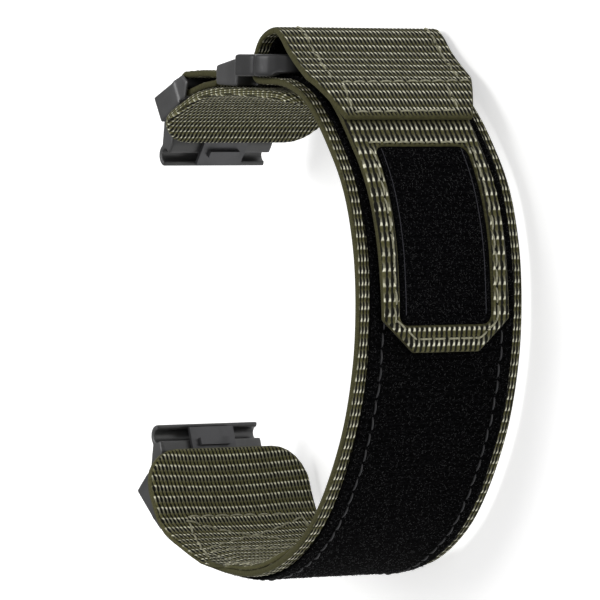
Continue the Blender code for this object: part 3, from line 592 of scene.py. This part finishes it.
class Graph:
    """A new material and short ways to add its nodes."""

    def __init__(self, name, roughness, metallic=0.0):
        self.look = bpy.data.materials.new(name)
        self.look.use_nodes = True
        self.tree = self.look.node_tree
        self.shader = self.tree.nodes["Principled BSDF"]
        self.shader.inputs["Roughness"].default_value = roughness
        self.shader.inputs["Metallic"].default_value = metallic

    def set(self, socket, value):
        set_socket(self.tree, socket, value)

    def node(self, kind, output=0, settings=(), **inputs):
        made = self.tree.nodes.new("ShaderNode" + kind)
        for key, value in dict(settings).items():
            setattr(made, key, value)
        for key, value in inputs.items():
            self.set(made.inputs[key.replace("_", " ")], value)
        return made.outputs[output]

    def math(self, operation, *values):
        return math_node(self.tree, operation, *values)

    def times(self, one, two):
        return self.math("MULTIPLY", one, two)

    def plus(self, one, two):
        return self.math("ADD", one, two)

    def ramp(self, value, low, high, start=0.0, stop=1.0):
        """Maps low to high onto start to stop, smoothly and within them."""
        made = self.tree.nodes.new("ShaderNodeMapRange")
        made.interpolation_type = "SMOOTHSTEP"
        for socket, given in zip(made.inputs, (value, low, high, start, stop)):
            self.set(socket, given)
        return made.outputs[0]

    def mix(self, share, one, two):
        made = self.tree.nodes.new("ShaderNodeMix")
        made.data_type = "RGBA"
        self.set(made.inputs[0], share)
        self.set(made.inputs[6], one)
        self.set(made.inputs[7], two)
        return made.outputs[2]

    def strap_places(self):
        """Places across and along the strap, in millimetres, and both as one vector."""
        both = self.node("UVMap", settings={"uv_map": "strap"})
        made = self.tree.nodes.new("ShaderNodeSeparateXYZ")
        self.set(made.inputs[0], both)
        return made.outputs[0], made.outputs[1], both

    def object_places(self):
        return self.node("TexCoord", output=3)

    def noise(self, places, scale, detail=2.0, stretch=(1.0, 1.0, 1.0)):
        stretched = self.node("Mapping", Vector=places, Scale=stretch)
        return self.node("TexNoise", Vector=stretched, Scale=scale, Detail=detail)

    def hill(self, phase, width, flat=0.0):
        """A smooth hill in the middle of each unit of phase, with a flat top if told."""
        gap = self.math("ABSOLUTE", self.math("SUBTRACT", self.math("FRACT", phase), 0.5))
        return self.ramp(gap, width, flat)

    def bump(self, height, strength, distance):
        self.set(self.shader.inputs["Normal"],
                 self.node("Bump", Strength=strength, Distance=distance, Height=height))

    def colour(self, value):
        self.set(self.shader.inputs["Base Color"], value)

    def rough(self, value):
        self.set(self.shader.inputs["Roughness"], value)


def woven_look(name, weave, base, highlight, gap):
    """Nylon threads: short floats in rows with painted highlights, dull long ones between, painted shade
    in the gaps, holes and fine lines, and sealed edges.
    """
    g = Graph(name, roughness=0.66)
    across, along, both = g.strap_places()
    wobble = g.times(g.math("SUBTRACT", g.noise(both, 0.9), 0.5), 0.3)
    row_phase = g.plus(g.math("DIVIDE", along, weave.row / MM), g.times(wobble, 0.3))
    drift = g.times(row_phase, weave.slant)
    thread_phase = g.plus(g.plus(g.math("DIVIDE", across, weave.pitch / MM), drift), wobble)
    thread = g.hill(thread_phase, 0.5)
    cell = g.node("CombineXYZ", X=g.math("FLOOR", thread_phase), Y=g.math("FLOOR", row_phase))
    chance = g.node("TexWhiteNoise", Vector=cell)
    fibre = g.noise(both, 1.0, detail=3.0, stretch=(9.0, 2.2, 1.0))

    def part(place, width, flat=0.0):
        return g.hill(g.plus(row_phase, 0.5 - place), width, flat)

    head = part(HEAD_AT, weave.float_share, weave.float_share * 0.3)
    tail = part(HOLE_AT, 0.4)
    lines = part(LINES_AT, 0.22, 0.05)
    # Painted shade: the holes after each head and the fine lines between rows.
    hole = g.math("MAXIMUM", part(HOLE_AT, weave.hole_share, 0.14),
                  g.times(lines, g.ramp(chance, 0.2, 0.9, 0.3, 0.8)))
    body = g.mix(g.ramp(fibre, 0.3, 0.7), [c * 0.7 for c in base], [c * 1.3 for c in base])
    # Painted highlights: the floats' heads take a near-white colour, and their tails a fainter one, for
    # light on the nylon.
    tails = g.mix(g.times(tail, 0.4), body, [c * 0.55 for c in highlight])
    lit = g.times(head, g.ramp(thread, 0.3, 0.75))
    lit = g.times(lit, g.ramp(chance, 0.0, 0.6, 0.45, 1.0))
    floats = g.mix(lit, tails, highlight)
    # Painted shade: between threads, and more widely at the holes, the colour goes to the near-black gap
    # colour.
    low = g.math("SUBTRACT", g.times(hole, 0.64), 0.11)
    high = g.plus(g.times(hole, 0.36), 0.6)
    shown = g.mix(g.ramp(thread, low, high), gap, floats)

    seal = g.node("Attribute", output=2, settings={"attribute_name": "from_edge"})
    ribs = g.noise(both, 1.0, detail=3.0, stretch=(1.0, 5.0, 1.0))
    sealed = g.mix(g.ramp(ribs, 0.3, 0.7), [c * 0.4 for c in base], [c * 0.75 for c in base])
    woven = g.ramp(seal, SEAL_WIDTH / MM - 0.15, SEAL_WIDTH / MM + 0.15)
    g.colour(g.mix(woven, sealed, shown))
    g.rough(g.mix(g.times(lit, woven), (0.8, 0.8, 0.8), (0.45, 0.45, 0.45)))
    height = g.times(g.plus(thread, head), woven)
    height = g.plus(height, g.times(fibre, 0.5))
    g.bump(height, strength=0.5, distance=0.1 * MM)
    g.shader.inputs["Specular IOR Level"].default_value = 0.2
    g.shader.inputs["Sheen Weight"].default_value = 0.02
    return g.look


def pile_look(name, base, tip, scale):
    """A black nap with pale specks where loops catch the light, and faint lines across."""
    g = Graph(name, roughness=1.0)
    _, along, both = g.strap_places()
    grain = g.noise(both, scale, detail=4.0, stretch=(0.6, 1.4, 1.0))
    fine = g.noise(both, scale * 3.1)
    lines = g.hill(g.plus(g.math("DIVIDE", along, 1.25), g.times(grain, 0.5)), 0.3)
    specks = g.times(g.ramp(grain, 0.5, 0.64), g.ramp(fine, 0.48, 0.64))
    streaks = g.times(lines, g.ramp(fine, 0.45, 0.7, 0.0, 0.3))
    g.colour(g.mix(g.math("MAXIMUM", specks, streaks), base, tip))
    g.bump(g.plus(grain, g.times(fine, 0.6)), strength=0.8, distance=0.25 * MM)
    g.shader.inputs["Specular IOR Level"].default_value = 0.02
    return g.look


def thread_look(name, base):
    """Twisted sewing thread."""
    g = Graph(name, roughness=0.6)
    twist = g.noise(g.object_places(), 2600.0)
    g.colour(g.mix(g.ramp(twist, 0.3, 0.7), [c * 0.7 for c in base], [c * 1.15 for c in base]))
    g.bump(twist, strength=0.4, distance=0.05 * MM)
    return g.look


def steel_look(name, base, roughness):
    """Coated steel: a fine blasted grain and edges that have worn slightly paler."""
    g = Graph(name, roughness, metallic=0.55)
    places = g.object_places()
    grain = g.noise(places, 5200.0, detail=3.0)
    cloud = g.noise(places, 160.0, detail=3.0)
    scratch = g.noise(places, 900.0, stretch=(1.0, 1.0, 14.0))
    worn = g.times(g.ramp(g.node("NewGeometry", output=7), 0.53, 0.62), g.ramp(cloud, 0.35, 0.65))
    colour = g.mix(g.ramp(cloud, 0.3, 0.7), [c * 0.85 for c in base], [c * 1.15 for c in base])
    g.colour(g.mix(worn, colour, [c * 1.5 for c in base]))
    g.rough(g.ramp(g.plus(g.times(grain, 0.5), g.times(scratch, 0.5)),
                   0.3, 0.7, roughness - 0.08, roughness + 0.1))
    g.bump(grain, strength=0.12, distance=0.03 * MM)
    return g.look


OLIVE = (0.096, 0.091, 0.035)
# A painted highlight colour for the floats' heads.
OLIVE_HIGHLIGHT = (0.95, 0.93, 0.72)
# A near-black colour for painted shade in the gaps between threads.
OLIVE_GAP_SHADE = (0.003, 0.003, 0.0012)
# A painted highlight colour for the upper pad's floats.
FLAP_HIGHLIGHT = (1.0, 0.99, 0.78)
# Painted light: the pads' cloth is the webbing's olive made lighter, standing for more light on the pads,
# the upper pad most.
PAD_LIFT = 1.25
FLAP_LIFT = 1.35
SEAM_OLIVE = (0.34, 0.33, 0.225)
PANEL_THREAD = (0.018, 0.018, 0.02)
LOOP_YARN = (0.014, 0.014, 0.015)
EDGE_THREAD = (0.025, 0.025, 0.034)
webbing_looks = (woven_look("webbing_skin_side", SKIN_WEAVE, OLIVE, OLIVE_HIGHLIGHT, OLIVE_GAP_SHADE),
                 woven_look("webbing_outer_side", OUTER_WEAVE, OLIVE, OLIVE_HIGHLIGHT, OLIVE_GAP_SHADE))
tail_looks = (webbing_looks[0], woven_look("tail_webbing", TAIL_WEAVE, OLIVE, OLIVE_HIGHLIGHT, OLIVE_GAP_SHADE))
lit_pad_olive = [c * PAD_LIFT for c in OLIVE]
pad_looks = (woven_look("pad_cloth", PAD_WEAVE, lit_pad_olive, OLIVE_HIGHLIGHT, OLIVE_GAP_SHADE),) * 2
lit_flap_olive = [c * FLAP_LIFT for c in OLIVE]
flap_looks = (woven_look("flap_cloth", FLAP_WEAVE, lit_flap_olive, FLAP_HIGHLIGHT, OLIVE_GAP_SHADE),) * 2
loop_looks = (pile_look("loop_pile", (0.001, 0.001, 0.0011), (0.03, 0.03, 0.032), 2.6),) * 2
inset_looks = (pile_look("inset_pile", (0.001, 0.001, 0.0012), (0.03, 0.03, 0.033), 3.4),) * 2
hook_looks = (pile_look("hook_pile", (0.002, 0.002, 0.002), (0.03, 0.03, 0.03), 4.0),) * 2
seam_look = thread_look("olive_thread", SEAM_OLIVE)
black_steel = steel_look("black_steel", (0.074, 0.074, 0.075), 0.42)
# Painted shade: the ring has the same black steel as the other pieces, made darker for the shade it shows.
ring_steel = steel_look("ring_steel", (0.04, 0.04, 0.041), 0.42)
dark_steel = steel_look("dark_steel", (0.05, 0.05, 0.053), 0.36)
spring_steel = steel_look("spring_steel", (0.45, 0.45, 0.46), 0.3)


# The steel pieces

SMOOTH_FACTOR = 0.5


def softened(node, look, body, voxel, rounds):
    """A copy of a steel node with its corners rounded, shown in its place."""
    source = frame["nodes"][node]
    rough_copy = bpy.data.objects.new(node + "_copy", source.data.copy())
    bpy.context.collection.objects.link(rough_copy)
    remesh = rough_copy.modifiers.new("even", "REMESH")
    remesh.mode = "VOXEL"
    remesh.voxel_size = voxel
    smoothing = rough_copy.modifiers.new("round", "SMOOTH")
    smoothing.factor = SMOOTH_FACTOR
    smoothing.iterations = rounds
    bpy.context.view_layer.update()
    evaluated = rough_copy.evaluated_get(bpy.context.evaluated_depsgraph_get())
    mesh = bpy.data.meshes.new_from_object(evaluated)
    bpy.data.objects.remove(rough_copy)
    mesh.materials.clear()
    mesh.shade_smooth()
    made = added(node + "_rounded", mesh, [look], body)
    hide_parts(node)


softened("buckle_ring", ring_steel, "ring", voxel=0.13 * MM, rounds=90)
softened("buckle_base", black_steel, "short_strap", voxel=0.13 * MM, rounds=30)
for end in ("upper", "lower"):
    softened(end + "_adapter_frame", black_steel, end + "_adapter", voxel=0.14 * MM, rounds=36)


def spring(end):
    """A copy of a latch's coil, shown on its adapter in its place."""
    source = frame["nodes"][end + "_latch_spring"]
    mesh = source.data.copy()
    mesh.transform(source.matrix_world)
    mesh.materials.clear()
    made = added(end + "_latch_coil", mesh, [spring_steel], end + "_adapter")
    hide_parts(end + "_latch_spring")
    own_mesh(made)


spring("upper")
spring("lower")

CARRIED = {"black_steel": black_steel, "dark_steel": dark_steel}
for row in frame["record"]["subparts"]:
    if row["material_slot"] in CARRIED:
        for slot in frame["nodes"][row["node"]].material_slots:
            slot.material = CARRIED[row["material_slot"]]


# The cloth pieces, and the steps of their grids across and along

FINE = (0.17 * MM, 0.18 * MM)
WIDE = (0.22 * MM, 0.24 * MM)
MEDIUM = (0.3 * MM, 0.3 * MM)
COARSE = (0.4 * MM, 0.4 * MM)
EDGE_ROUND = 0.3 * MM
TIP_ROUND = 0.7 * MM
PAD_ROUND = 1.1 * MM
TAIL_PHASE = 1.68 * MM
PAD_PHASE = 0.6 * MM
TIP_HEM = 0.1 * MM
PAD_HEM = 0.2 * MM
PAST_END = 4 * MM

# How far the fold, the tail and its window stand to one side, and how much wider the tail is
FOLD_LEAN_ACROSS = (-0.9 * MM, 1.1 * MM)
TAIL_LEAN_PLACES = (0.0, 12.0 * MM, 20.0 * MM, 34.0 * MM)
TAIL_LEAN_ACROSS = (0.0, 0.5 * MM, 0.6 * MM, 0.9 * MM)
TAIL_WIDER = (0.25 * MM, 0.5 * MM)
INSET_SHIFTS = (0.25 * MM, -0.3 * MM)
INSET_WIDER = 0.3 * MM
WINDOW_LONGER = 0.4 * MM

# How far the lower pad lies below its line, in millimetres: at places along it, in its middle and
# at its rim, on the skin side and on the back
PAD_SAG_ALONG = (0.0, 6.0, 9.0, 12.0, 15.0, 18.0, 21.0, 24.0, 27.0, 30.0, 33.0, 36.0, 56.0)
PAD_SAG_MIDDLE = ((0.0, 0.0, 0.4, 1.4, 2.0, 2.5, 2.6, 2.4, 2.0, 1.5, 1.2, 0.9, 0.5),
                  (0.0, 0.0, 0.3, 1.1, 1.7, 1.9, 1.65, 1.25, 0.85, 0.45, 0.25, 0.27, 0.27))
PAD_SAG_RIM = ((0.0, 0.2, 0.9, 1.9, 2.3, 2.7, 2.9, 3.15, 3.1, 2.5, 1.7, 1.0, 0.5),
               (0.0, 0.1, 0.6, 1.4, 1.8, 2.1, 2.2, 2.25, 2.15, 1.4, 0.6, 0.28, 0.28))
PAD_CROWN = 9.0 * MM
PAD_BOW = 0.8 * MM

flare = [(RETURN_START, narrow_half), (long_bar_end + FLARE_SEEN_START, narrow_half)]
flare += [(long_bar_end + FLARE_SEEN_STOP, wide_half)]
panel_start = long_bar_end + PANEL_SEEN_START
tip_start = long_ring - TAIL_END
tip_stop = long_ring - TIP_START
inset_start = long_ring - INSET_START - INSET_LENGTH
inset_stop = long_ring - INSET_START
tip_widths = [(tip_start, tip_half + TAIL_WIDER[0] - CHAMFER_ACROSS),
              (tip_start + CHAMFER_ALONG, tip_half + TAIL_WIDER[0]), (tip_stop, tip_half + TAIL_WIDER[1])]


def long_lean(along):
    return FOLD_LEAN_ACROSS[0] * ease((along - long_ring) / (long_line.end - long_ring))


def fold_lean(along):
    return np.interp(along, (0.0, fold_line.end), FOLD_LEAN_ACROSS)


def tail_lean(along):
    return np.interp(along - tip_start, TAIL_LEAN_PLACES, TAIL_LEAN_ACROSS)


def inset_shift(along):
    """How far the window lies from the middle of the tail, by distance along."""
    return np.interp(along, (inset_start, inset_stop), INSET_SHIFTS)


def inset_outline(gap):
    start = inset_start - gap
    stop = inset_stop + WINDOW_LONGER + gap
    half = INSET_WIDTH / 2 + INSET_WIDER + gap
    outline = band(rounded_start(start, half, INSET_CORNER, INSET_CORNER)
                   + rounded_stop(stop, half, INSET_CORNER, INSET_CORNER))
    return [(across + inset_shift(along), along) for across, along in outline]


def pad_sag(across, along):
    outward = ease((np.abs(across) - PAD_CROWN) / (wide_half - PAD_CROWN))
    sags = []
    for middle, rim in zip(PAD_SAG_MIDDLE, PAD_SAG_RIM):
        flat = np.interp(along / MM, PAD_SAG_ALONG, middle)
        low = np.interp(along / MM, PAD_SAG_ALONG, rim)
        sags.append((flat + (low - flat) * outward) * MM)
    return sags


def follow_peel(piece):
    """Bakes a piece of the fold's place into its mesh."""
    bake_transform(piece)


def dress_long_webbing():
    outline = band(flare + [(long_line.end, wide_half)])
    rounding = band(flare + [(long_line.end + PAST_END, wide_half)])
    cloth = fabric("long_cloth", long_line, outline, -webbing_half, webbing_half, webbing_looks,
                   "long_strap", WIDE, EDGE_ROUND, SKIN_WEAVE, OUTER_WEAVE, rounding=rounding,
                   lean=long_lean)
    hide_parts("long_webbing")


def dress_fold_webbing():
    widths = [(0.0, wide_half), (fold_line.end - CUT_TAPER, wide_half), (fold_line.end, CUT_HALF)]
    rounding = band([(-PAST_END, wide_half)] + widths[1:])
    cloth = fabric("fold_cloth", fold_line, band(widths), -webbing_half, webbing_half, webbing_looks,
                   None, FINE, EDGE_ROUND, SKIN_WEAVE, OUTER_WEAVE, rounding=rounding,
                   phase=long_line.end, lean=fold_lean)
    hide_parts("fold_webbing")
    return cloth


def dress_loop_panel():
    widths = [(panel_start, panel_half), (long_line.end, panel_half)]
    rounding = band([widths[0], (long_line.end + PAST_END, panel_half)])
    panel = fabric("loop_pile_panel", long_line, band(widths), -panel_top, -webbing_half, loop_looks,
                   "long_strap", COARSE, PANEL_THICK / 2, right=LOOP_PILE, rounding=rounding,
                   lean=long_lean)
    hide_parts("loop_panel")


def dress_fold_panel():
    outline = band([(0.0, panel_half), (fold_ring, panel_half)])
    rounding = band([(-PAST_END, panel_half), (fold_ring, panel_half)])
    panel = fabric("fold_pile_panel", fold_line, outline, -panel_top, -webbing_half, loop_looks, None,
                   COARSE, PANEL_THICK / 2, right=LOOP_PILE, rounding=rounding, phase=long_line.end,
                   lean=fold_lean)
    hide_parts("fold_loop_panel")
    return panel


def dress_tail_tip():
    tip = fabric("tail_frame", long_line, band(tip_widths), -tip_top, -tip_floor, tail_looks, "tail",
                 FINE, TIP_ROUND, right=TAIL_WEAVE, rims=(0.9, 0.2), hem=TIP_HEM,
                 window=inset_outline(0.0), phase=TAIL_PHASE, lean=tail_lean)
    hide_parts("tail_tip")


def dress_tail_inset():
    inset = fabric("tail_inset_pile", long_line, inset_outline(SEWN_GAP), -tip_top + INSET_DROP,
                   -tip_floor, inset_looks, "tail", MEDIUM, WEBBING_THICK / 4, right=INSET_PILE,
                   lean=tail_lean)
    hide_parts("tail_inset")


def dress_hook_patch():
    widths = [(d + HOOK_MARGIN, half - HOOK_MARGIN) for d, half in tip_widths[:2]]
    widths += [(inset_stop, tip_half - HOOK_MARGIN)]
    hooks = fabric("hook_sheet", long_line, band(widths), -hook_top, -hook_floor, hook_looks, "tail",
                   COARSE, HOOK_THICK / 2, lean=tail_lean)
    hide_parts("hook_patch")


def dress_short_webbing():
    outline = band([(0.0, narrow_half), (short_line.end, narrow_half)])
    cloth = fabric("short_cloth", short_line, outline, -webbing_half, webbing_half,
                   webbing_looks[::-1], "short_strap", WIDE, EDGE_ROUND, OUTER_WEAVE, SKIN_WEAVE)
    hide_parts("short_webbing")


def dress_pad(name, node, line, corner, looks, body, weave, **shape):
    """A pad along a line, with corners of its own at the line's end."""
    outline = band(rounded_start(0.0, wide_half, PAD_ACROSS, PAD_ALONG)
                   + rounded_stop(line.end, wide_half, corner, corner))
    pad = fabric(name, line, outline, -pad_half, pad_half, looks, body, FINE, PAD_ROUND, weave, weave,
                 hem=PAD_HEM, **shape)
    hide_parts(node)


dress_long_webbing()
fold_cloth = dress_fold_webbing()
dress_loop_panel()
fold_panel = dress_fold_panel()
follow_peel(fold_cloth)
follow_peel(fold_panel)
dress_tail_tip()
dress_tail_inset()
dress_hook_patch()
dress_short_webbing()
dress_pad("lower_pad", "long_inner_pad", lower_pad_line, PAD_ACROSS, pad_looks, "long_strap", PAD_WEAVE,
          rims=(0.35, 0.95), phase=PAD_PHASE, sag=pad_sag, bow=PAD_BOW)
dress_pad("upper_pad", "short_inner_pad", upper_pad_line, FLAP_CORNER, flap_looks, "short_strap",
          FLAP_WEAVE, rims=(0.6, 0.35), woven_rim=True)


# Stitches and loops of thread, and a direction to turn their rings of points from

STITCH_LENGTH = 2.3 * MM
STITCH_SPACE = 0.5 * MM
STITCH_RADIUS = 0.17 * MM
STITCH_ARCH = (-0.16 * MM, 0.08 * MM, 0.14 * MM, 0.08 * MM, -0.16 * MM)
STITCH_WANDER = 0.12 * MM
STITCH_SIDES = 6
LOOP_COUNT = 9000
INSET_LOOP_COUNT = 1800
LOOP_RADIUS = (0.07 * MM, 0.17 * MM)
LOOP_WIRE = 0.03 * MM
LOOP_SIDES = 3
LOOP_TURNS = 4
HEM_INSET = 1.1 * MM
TIP_HEM_INSET = 2.2 * MM
PANEL_HEM = 2.4 * MM
EDGE_LINE_INSET = 0.8 * MM
EDGE_LINE_STEPS = 40
EDGE_LINE_RADIUS = 0.07 * MM
OFF_AXIS = Vector((0.31, 0.17, 0.93))

# Paths of stitches, in millimetres across and along
FOLD_SEAMS = [
    [(11.8, -3.0), (11.8, 8.6), (12.1, 15.4)], [(-14.2, -3.0), (-13.7, 8.2), (-13.4, 15.2)],
    [(10.9, 16.3), (-10.6, 15.8), (-15.9, 15.6)], [(10.8, 17.0), (11.1, 22.9)],
    [(-10.0, 16.9), (-10.0, 22.8)], [(10.6, 23.2), (-9.9, 22.8)],
]
LOWER_PAD_SEAMS = [
    [(10.9, 12.7), (-11.9, 13.1)], [(12.8, 24.1), (-12.3, 25.4)], [(11.6, 13.4), (-12.2, 24.6)],
    [(12.6, 22.8), (-12.3, 13.6)], [(-12.2, 13.2), (-12.3, 25.2)],
    [(11.3, 13.9), (13.0, 20.0), (14.4, 25.3), (15.0, 32.7), (15.1, 40.0)],
]


def tube(centres, radius, sides, verts, faces):
    """Adds a round thread along some centres to lists of points and faces."""
    aims = []
    for before, after in zip(centres[:1] + centres[:-1], centres[1:] + centres[-1:]):
        aims.append((after - before).normalized())
    start = len(verts)
    for centre, aim in zip(centres, aims):
        one = aim.cross(OFF_AXIS).normalized()
        two = aim.cross(one)
        for k in range(sides):
            turn = math.tau * k / sides
            verts.append(centre + radius * (math.cos(turn) * one + math.sin(turn) * two))
    for ring in range(len(centres) - 1):
        low = start + ring * sides
        for k in range(sides):
            after = (k + 1) % sides
            faces.append((low + k, low + after, low + sides + after, low + sides + k))
    faces.append(tuple(range(start + sides - 1, start - 1, -1)))
    faces.append(tuple(range(start + (len(centres) - 1) * sides, start + len(centres) * sides)))


def place_on(line, across, along, offset, lean=straight, sag=None):
    if sag:
        offset = offset - sag(across, along)[0]
    x, y = line.places(along, offset)
    return Vector((x, y, across + lean(along))) + shift


def thread_piece(name, verts, faces, body, look):
    mesh = bpy.data.meshes.new(name)
    mesh.from_pydata(verts, [], faces)
    mesh.shade_smooth()
    made = added(name, mesh, [look], body)
    return made


def seam(name, line, face, paths, body, look, seed, lean=straight, sag=None):
    """Stitches along paths on a face of cloth, each one going down into it at both ends."""
    chance = np.random.default_rng(seed)
    verts, faces = [], []
    side = math.copysign(1.0, face)
    for path in paths:
        spots = np.array(path, dtype=float)
        gone = np.concatenate([[0.0], np.cumsum(np.hypot(*np.diff(spots, axis=0).T))])
        count = max(1, round(gone[-1] / (STITCH_LENGTH + STITCH_SPACE)))
        for k in range(count):
            start = gone[-1] * k / count
            stop = start + gone[-1] / count - STITCH_SPACE
            drift = chance.normal(0.0, STITCH_WANDER, 2)
            centres = []
            for share, rise in zip(np.linspace(0.0, 1.0, len(STITCH_ARCH)), STITCH_ARCH):
                way = start + (stop - start) * share
                across = np.interp(way, gone, spots[:, 0]) + drift[0] + share * (drift[1] - drift[0])
                along = np.interp(way, gone, spots[:, 1])
                centres.append(place_on(line, across, along, face + side * rise, lean, sag))
            tube(centres, STITCH_RADIUS, STITCH_SIDES, verts, faces)
    return thread_piece(name, verts, faces, body, look)


def in_metres(paths):
    return [[(across * MM, along * MM) for across, along in path] for path in paths]


def tail_hem():
    """Paths round the window, and round the cut corners of the tip."""
    half = INSET_WIDTH / 2 + INSET_WIDER + HEM_INSET
    paths = [[(INSET_SHIFTS[1] + side * half, inset_stop), (INSET_SHIFTS[0] + side * half, inset_start)]
             for side in (1, -1)]
    paths.append([(INSET_SHIFTS[1] + side * half, inset_stop + HEM_INSET) for side in (1, -1)])
    hem_out, corner_out = tip_half - TIP_HEM_INSET, tip_half - CHAMFER_ACROSS
    hem_start, corner_end = tip_start + TIP_HEM_INSET, tip_start + CHAMFER_ALONG
    paths.append([(hem_out, corner_end), (corner_out, hem_start), (-corner_out, hem_start),
                  (-hem_out, corner_end)])
    return paths


def panel_hem():
    return [[(side * (panel_half - PANEL_HEM), panel_start + PANEL_HEM),
             (side * (panel_half - PANEL_HEM), long_ring)] for side in (1, -1)]


def loops(name, line, face, half, start, stop, count, body, look, seed, lean=straight):
    """Small loops of yarn that stand up from a nap."""
    chance = np.random.default_rng(seed)
    side = math.copysign(1.0, face)
    verts, faces = [], []
    for _ in range(count):
        across = chance.uniform(-half, half)
        along = chance.uniform(start, stop)
        radius = chance.uniform(*LOOP_RADIUS)
        heading = chance.uniform(0.0, math.pi)
        centres = []
        for k in range(LOOP_TURNS + 1):
            turn = math.pi * k / LOOP_TURNS
            reach = radius * math.cos(turn)
            rise = face + side * (radius * math.sin(turn) - LOOP_WIRE)
            centres.append(place_on(line, across + reach * math.cos(heading),
                                    along + reach * math.sin(heading), rise, lean))
        tube(centres, LOOP_WIRE, LOOP_SIDES, verts, faces)
    thread_piece(name, verts, faces, body, look)


def inset_edge_lines(look):
    """A fine cord along each long edge of the inset."""
    verts, faces = [], []
    for side in (1, -1):
        offset = side * (INSET_WIDTH / 2 - EDGE_LINE_INSET)
        spots = [place_on(long_line, inset_shift(along) + offset, along, -tip_top + INSET_DROP, tail_lean)
                 for along in np.linspace(inset_start + INSET_CORNER, inset_stop, EDGE_LINE_STEPS)]
        tube(spots, EDGE_LINE_RADIUS, STITCH_SIDES, verts, faces)
    thread_piece("inset_edge_lines", verts, faces, "tail", look)


fold_seams = seam("fold_stitches", fold_line, webbing_half, in_metres(FOLD_SEAMS), None, seam_look,
                  seed=11, lean=fold_lean)
follow_peel(fold_seams)
seam("lower_pad_stitches", lower_pad_line, pad_half, in_metres(LOWER_PAD_SEAMS), "long_strap",
     seam_look, seed=12, sag=pad_sag)
seam("tail_stitches", long_line, -tip_top, tail_hem(), "tail", seam_look, seed=13,
     lean=tail_lean)
seam("panel_stitches", long_line, -panel_top, panel_hem(), "long_strap",
     thread_look("black_thread", PANEL_THREAD), seed=14)
loop_yarn = thread_look("loop_yarn", LOOP_YARN)
loops("panel_loops", long_line, -panel_top, panel_half, panel_start, long_line.end, LOOP_COUNT,
      "long_strap", loop_yarn, seed=21, lean=long_lean)
loops("inset_loops", long_line, -tip_top + INSET_DROP, INSET_WIDTH / 2 - SEWN_GAP, inset_start,
      inset_stop, INSET_LOOP_COUNT, "tail", loop_yarn, seed=22, lean=tail_lean)
inset_edge_lines(thread_look("grey_thread", EDGE_THREAD))


# The camera, as a fit to the photographed watch places it

CAMERA_PLACE = Vector((73.763, -805.299, 554.451)) * MM
CAMERA_RIGHT = Vector((0.03045054, -0.54829022, -0.83573357))
CAMERA_UP = Vector((0.99665426, 0.08010363, -0.01623888))
CAMERA_AHEAD = Vector((-0.07584891, 0.83244294, -0.54889498))
CAMERA_NUDGE = 0.2 * MM
LENS_LENGTH = 342.0
SENSOR_WIDTH = 36.0


def add_camera():
    lens = bpy.data.cameras.new("camera")
    lens.lens = LENS_LENGTH
    lens.sensor_width = SENSOR_WIDTH
    camera = bpy.data.objects.new("camera", lens)
    bpy.context.collection.objects.link(camera)
    turned = Matrix((CAMERA_RIGHT, CAMERA_UP, -CAMERA_AHEAD)).transposed().to_4x4()
    turned.translation = CAMERA_PLACE + CAMERA_NUDGE * CAMERA_RIGHT
    camera.matrix_world = turned
    bpy.context.scene.camera = camera


add_camera()


# Floor, world and lights

FLOOR_LIFT = 0.5
FLOOR_HALF = 3.0
SKY_LIGHT = 0.4
WHITE = (1.0, 1.0, 1.0)


def floor_look():
    """A pale matt floor that looks brighter to the camera and in reflections than it lights."""
    g = Graph("floor", roughness=0.9)
    grain = g.noise(g.object_places(), 900.0, detail=3.0)
    g.colour(g.mix(grain, (0.86, 0.86, 0.86), (0.9, 0.9, 0.9)))
    path = g.tree.nodes.new("ShaderNodeLightPath")
    glossy = g.math("MAXIMUM", path.outputs["Is Camera Ray"], path.outputs["Is Glossy Ray"])
    seen = g.math("MAXIMUM", glossy, path.outputs["Is Transmission Ray"])
    g.set(g.shader.inputs["Emission Color"], WHITE)
    g.set(g.shader.inputs["Emission Strength"], g.times(seen, FLOOR_LIFT))
    return g.look


def add_floor():
    corners = [(x * FLOOR_HALF, y * FLOOR_HALF, 0) for x, y in ((-1, -1), (1, -1), (1, 1), (-1, 1))]
    mesh = bpy.data.meshes.new("floor")
    mesh.from_pydata(corners, [], [(0, 1, 2, 3)])
    floor = added("floor", mesh, [floor_look()], None)


def add_sky():
    """A white world that the camera sees at full strength and that lights the part more softly."""
    sky = bpy.data.worlds.new("studio")
    bpy.context.scene.world = sky
    sky.use_nodes = True
    tree = sky.node_tree
    background = tree.nodes["Background"]
    set_socket(tree, background.inputs["Color"], WHITE)
    path = tree.nodes.new("ShaderNodeLightPath")
    seen = math_node(tree, "MULTIPLY", path.outputs["Is Camera Ray"], 1.0 - SKY_LIGHT)
    set_socket(tree, background.inputs["Strength"], math_node(tree, "ADD", SKY_LIGHT, seen))


def lamp(name, place, size, power):
    """A square lamp that looks at the middle of the floor."""
    data = bpy.data.lights.new(name, "AREA")
    data.size = size
    data.energy = power
    made = bpy.data.objects.new(name, data)
    bpy.context.collection.objects.link(made)
    made.location = place
    made.rotation_mode = "QUATERNION"
    made.rotation_quaternion = (-Vector(place)).to_track_quat("-Z", "Y")


add_floor()
add_sky()
lamp("key", (0.25, 0.25, 0.9), size=0.5, power=5.0)
lamp("fill", (0.5, -0.8, 0.4), size=0.6, power=1.2)
lamp("low", (-0.6, -0.6, 0.5), size=0.5, power=1.8)

bpy.context.scene.view_settings.view_transform = "Standard"
